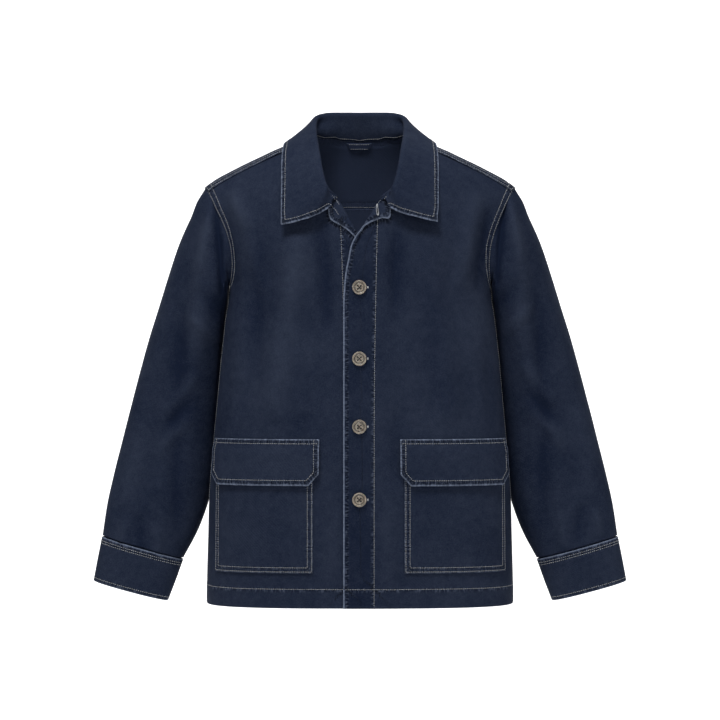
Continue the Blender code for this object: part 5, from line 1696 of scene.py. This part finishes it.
for number, height in enumerate(BUTTON_HEIGHTS, 1):
    place, normal = look_along_y(under_button, BUTTON_X, height)
    place = place + normal * BUTTON_STAND_OFF
    turn = Vector(normal).to_track_quat("Z", "Y").to_matrix()
    frame_of = np.array(turn)
    horn = drilled.copy()
    horn.name = "button_%d_horn" % number
    spots = np.zeros(len(horn.vertices) * 3)
    horn.vertices.foreach_get("co", spots)
    spots = spots.reshape(-1, 3) @ frame_of.T + place
    horn.vertices.foreach_set("co", spots.reshape(-1))
    item = add_object(horn.name, horn)
    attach(item, "root")
    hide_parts("button_%d" % number)

    across, up = frame_of[:, 0], frame_of[:, 1]
    stitches = []
    for lean in (1, -1):
        way = unit(across + up * lean)
        for strand in (-1, 1):
            side = unit(np.cross(normal, way)) * 0.00022 * strand
            stitches.append((place + normal * (0.0029 + 0.0002 * lean) + side, way, normal))
    shank = [(place + normal * (0.0002 + 0.0003 * k)
              + (across * math.cos(2.4 * k) + up * math.sin(2.4 * k)) * 0.0009,
              np.cross(normal, across * math.cos(2.4 * k) + up * math.sin(2.4 * k)), normal)
             for k in range(4)]
    holes = build_stitches("button_%d_thread" % number, stitches + shank, radius=0.00030,
                           length=HOLE_PLACE * 1.45)
    holes.data.materials[0] = NAVY_THREAD

    # the buttonhole: thread bound across both its lips, and a bar tack at its outer end
    lips, tack = [], []
    for x in np.arange(BUTTON_X - 0.0105, TACK_X, 0.0009):
        for side in (-1, 1):
            found = look_along_y(under_button, x, height + side * 0.0011)
            lips.append((found[0], up, found[1]))
    for k in range(4):
        found = look_along_y(under_button, TACK_X + (k - 1.5) * 0.00042, height)
        tack.append((found[0] + found[1] * 0.0002, up, found[1]))
    bound = build_stitches("buttonhole_%d_lips" % number, lips, radius=0.00036, length=0.0019)
    bound.data.materials[0] = NAVY_THREAD
    build_stitches("buttonhole_%d_tack" % number, tack, radius=0.00042, length=0.0036)


# ==================================================================== lapel details
# On the facings that the lapels show: an upright buttonhole bound in ecru in the left one, and the
# rows that sew the collar down to each.
VIEW_MIDDLE, VIEW_STEP = (360.5, 360.0), 0.00149   # of a view of 720 steps square


def from_view(px, py):
    """Distance from the middle and height of a place on the facings, from its place in view."""
    return (px - VIEW_MIDDLE[0]) * VIEW_STEP, CAMERA_PLACE[2] + (VIEW_MIDDLE[1] - py) * VIEW_STEP


def seen(item, spots):
    """Places of an object that are seen at places in view, where there are any."""
    found = [look_along_y(item, *from_view(*spot)) for spot in spots]
    return [hit for hit in found if hit is not None]


def row_on(item, spots, pitch):
    """Stitches on an object, through places given by their place in view."""
    count = max(6, int(np.abs(np.diff(spots, axis=0)).sum() * 1.5))
    return stitch_line(seen(item, [along(spots, t) for t in np.linspace(0, 1, count)]), pitch=pitch)


LEFT_FACING_ROWS = [[(389.3, 195.6), (385.0, 197.6), (381.2, 200.4), (378.6, 203.2)]]
RIGHT_FACING_ROWS = [
    [(329.9, 195.8), (333.3, 197.0), (336.8, 200.4), (340.0, 205.0)],
    [(329.9, 205.6), (333.4, 207.4), (336.4, 210.4), (339.2, 215.2)],
]
for side, rows in (("left", LEFT_FACING_ROWS), ("right", RIGHT_FACING_ROWS)):
    stitches = []
    for row in rows:
        stitches += row_on(FRONTS[side], row, 0.0030)
    build_stitches("facing_" + side + "_rows", stitches)

HOLE_TOP, HOLE_FOOT, HOLE_HALF = (377.3, 205.2), (378.4, 215.6), 1.15
outline = []
for turn in np.linspace(0, 2 * math.pi, 40, endpoint=False):
    share = 0.5 - 0.5 * math.cos(turn)
    half = HOLE_HALF * (0.55 + 0.45 * share) * math.sin(turn)
    outline.append(along([HOLE_TOP, HOLE_FOOT], share) + np.array([half, 0.0]))
ring = seen(FRONTS["left"], outline)
centre = np.mean([place for place, _ in ring], axis=0)
lips = []
for k, (place, normal) in enumerate(ring):
    run = ring[(k + 1) % len(ring)][0] - ring[k - 1][0]
    lips.append((place, np.cross(normal, run), normal))
build_stitches("lapel_buttonhole_lips", lips, radius=0.00040, length=0.0017)
knot = seen(FRONTS["left"], [(376.9 + 0.4 * k, 205.0) for k in range(4)])
build_stitches("lapel_buttonhole_knot", [(p + n * 0.0003, np.array([0.2, 0.0, 1.0]), n)
                                         for p, n in knot], radius=0.00045, length=0.0026)
# painted shade: a thin dark lens in navy thread colour, laid inside the bound lips, stands for the shade in
# the buttonhole's slit
slot_points = [centre + normal * 0.0002 + (place + normal * 0.0002 - centre) * 0.62
               for place, normal in ring]
depth = np.mean([normal for _, normal in ring], axis=0) * 0.0004
count = len(slot_points)
painted_shade_slot_item = new_item(
    "lapel_buttonhole_gap_painted_shade", slot_points + [point - depth for point in slot_points],
    [tuple(range(count)), tuple(range(2 * count - 1, count - 1, -1))]
    + [(k, count + k, count + (k + 1) % count, (k + 1) % count) for k in range(count)], NAVY_THREAD)
fix_direction(painted_shade_slot_item)
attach(painted_shade_slot_item, "root")


# ==================================================================== hanger loop
# A short folded strip of the same twill inside the back neck, its ends caught under the collar's
# seam; stitched along both its long edges.
LOOP_WALL = 0.0012
LOOP_TOP_HALF, LOOP_FOOT_HALF = 0.0195, 0.0155
LOOP_TOP_Z, LOOP_FOOT_Z = 0.0165, 0.0070
LOOP_CUT, LOOP_ROW = (0.042, 0.0125), 0.0014

loop = []
for v in np.linspace(0.0, 1.0, 4):
    z = LOOP_TOP_Z + v * (LOOP_FOOT_Z - LOOP_TOP_Z)
    half = LOOP_TOP_HALF + v * (LOOP_FOOT_HALF - LOOP_TOP_HALF)
    line = []
    for u in np.linspace(-1.0, 1.0, 9):
        spot = pattern_place(u * half - 0.0015, z)
        here = body(1, *spot)
        normal = unit(np.cross(body(1, *(spot + [0, 1e-4])) - here,
                               body(1, *(spot + [1e-4, 0])) - here))
        if normal[1] > 0:
            normal = -normal
        line.append(here + normal * (LAYER + 0.0004 + 0.0012 * (1 - u * u)))
    loop.append(line)
loop_piece = panel(np.array(loop), (0.0, 1.0, 0.0), step=0.001, rim=0.0, thickness=LOOP_WALL)
for edge in ("start", "end"):
    seam(loop_piece, edge, [], worn=1.0)
for edge in ("left", "right"):
    seam(loop_piece, edge, [], worn=0.6)
loop_item = build_cloth("hanger_loop_cloth", loop_piece, INSIDE_TWILL_PAINTED_LIGHT)
fit(loop_item, "hanger_loop")
stitches = []
for edge in ("start", "end"):
    stitches += sew(loop_piece, edge, LOOP_ROW, 0.04, 0.96)
build_stitches("hanger_loop_stitching", stitches)
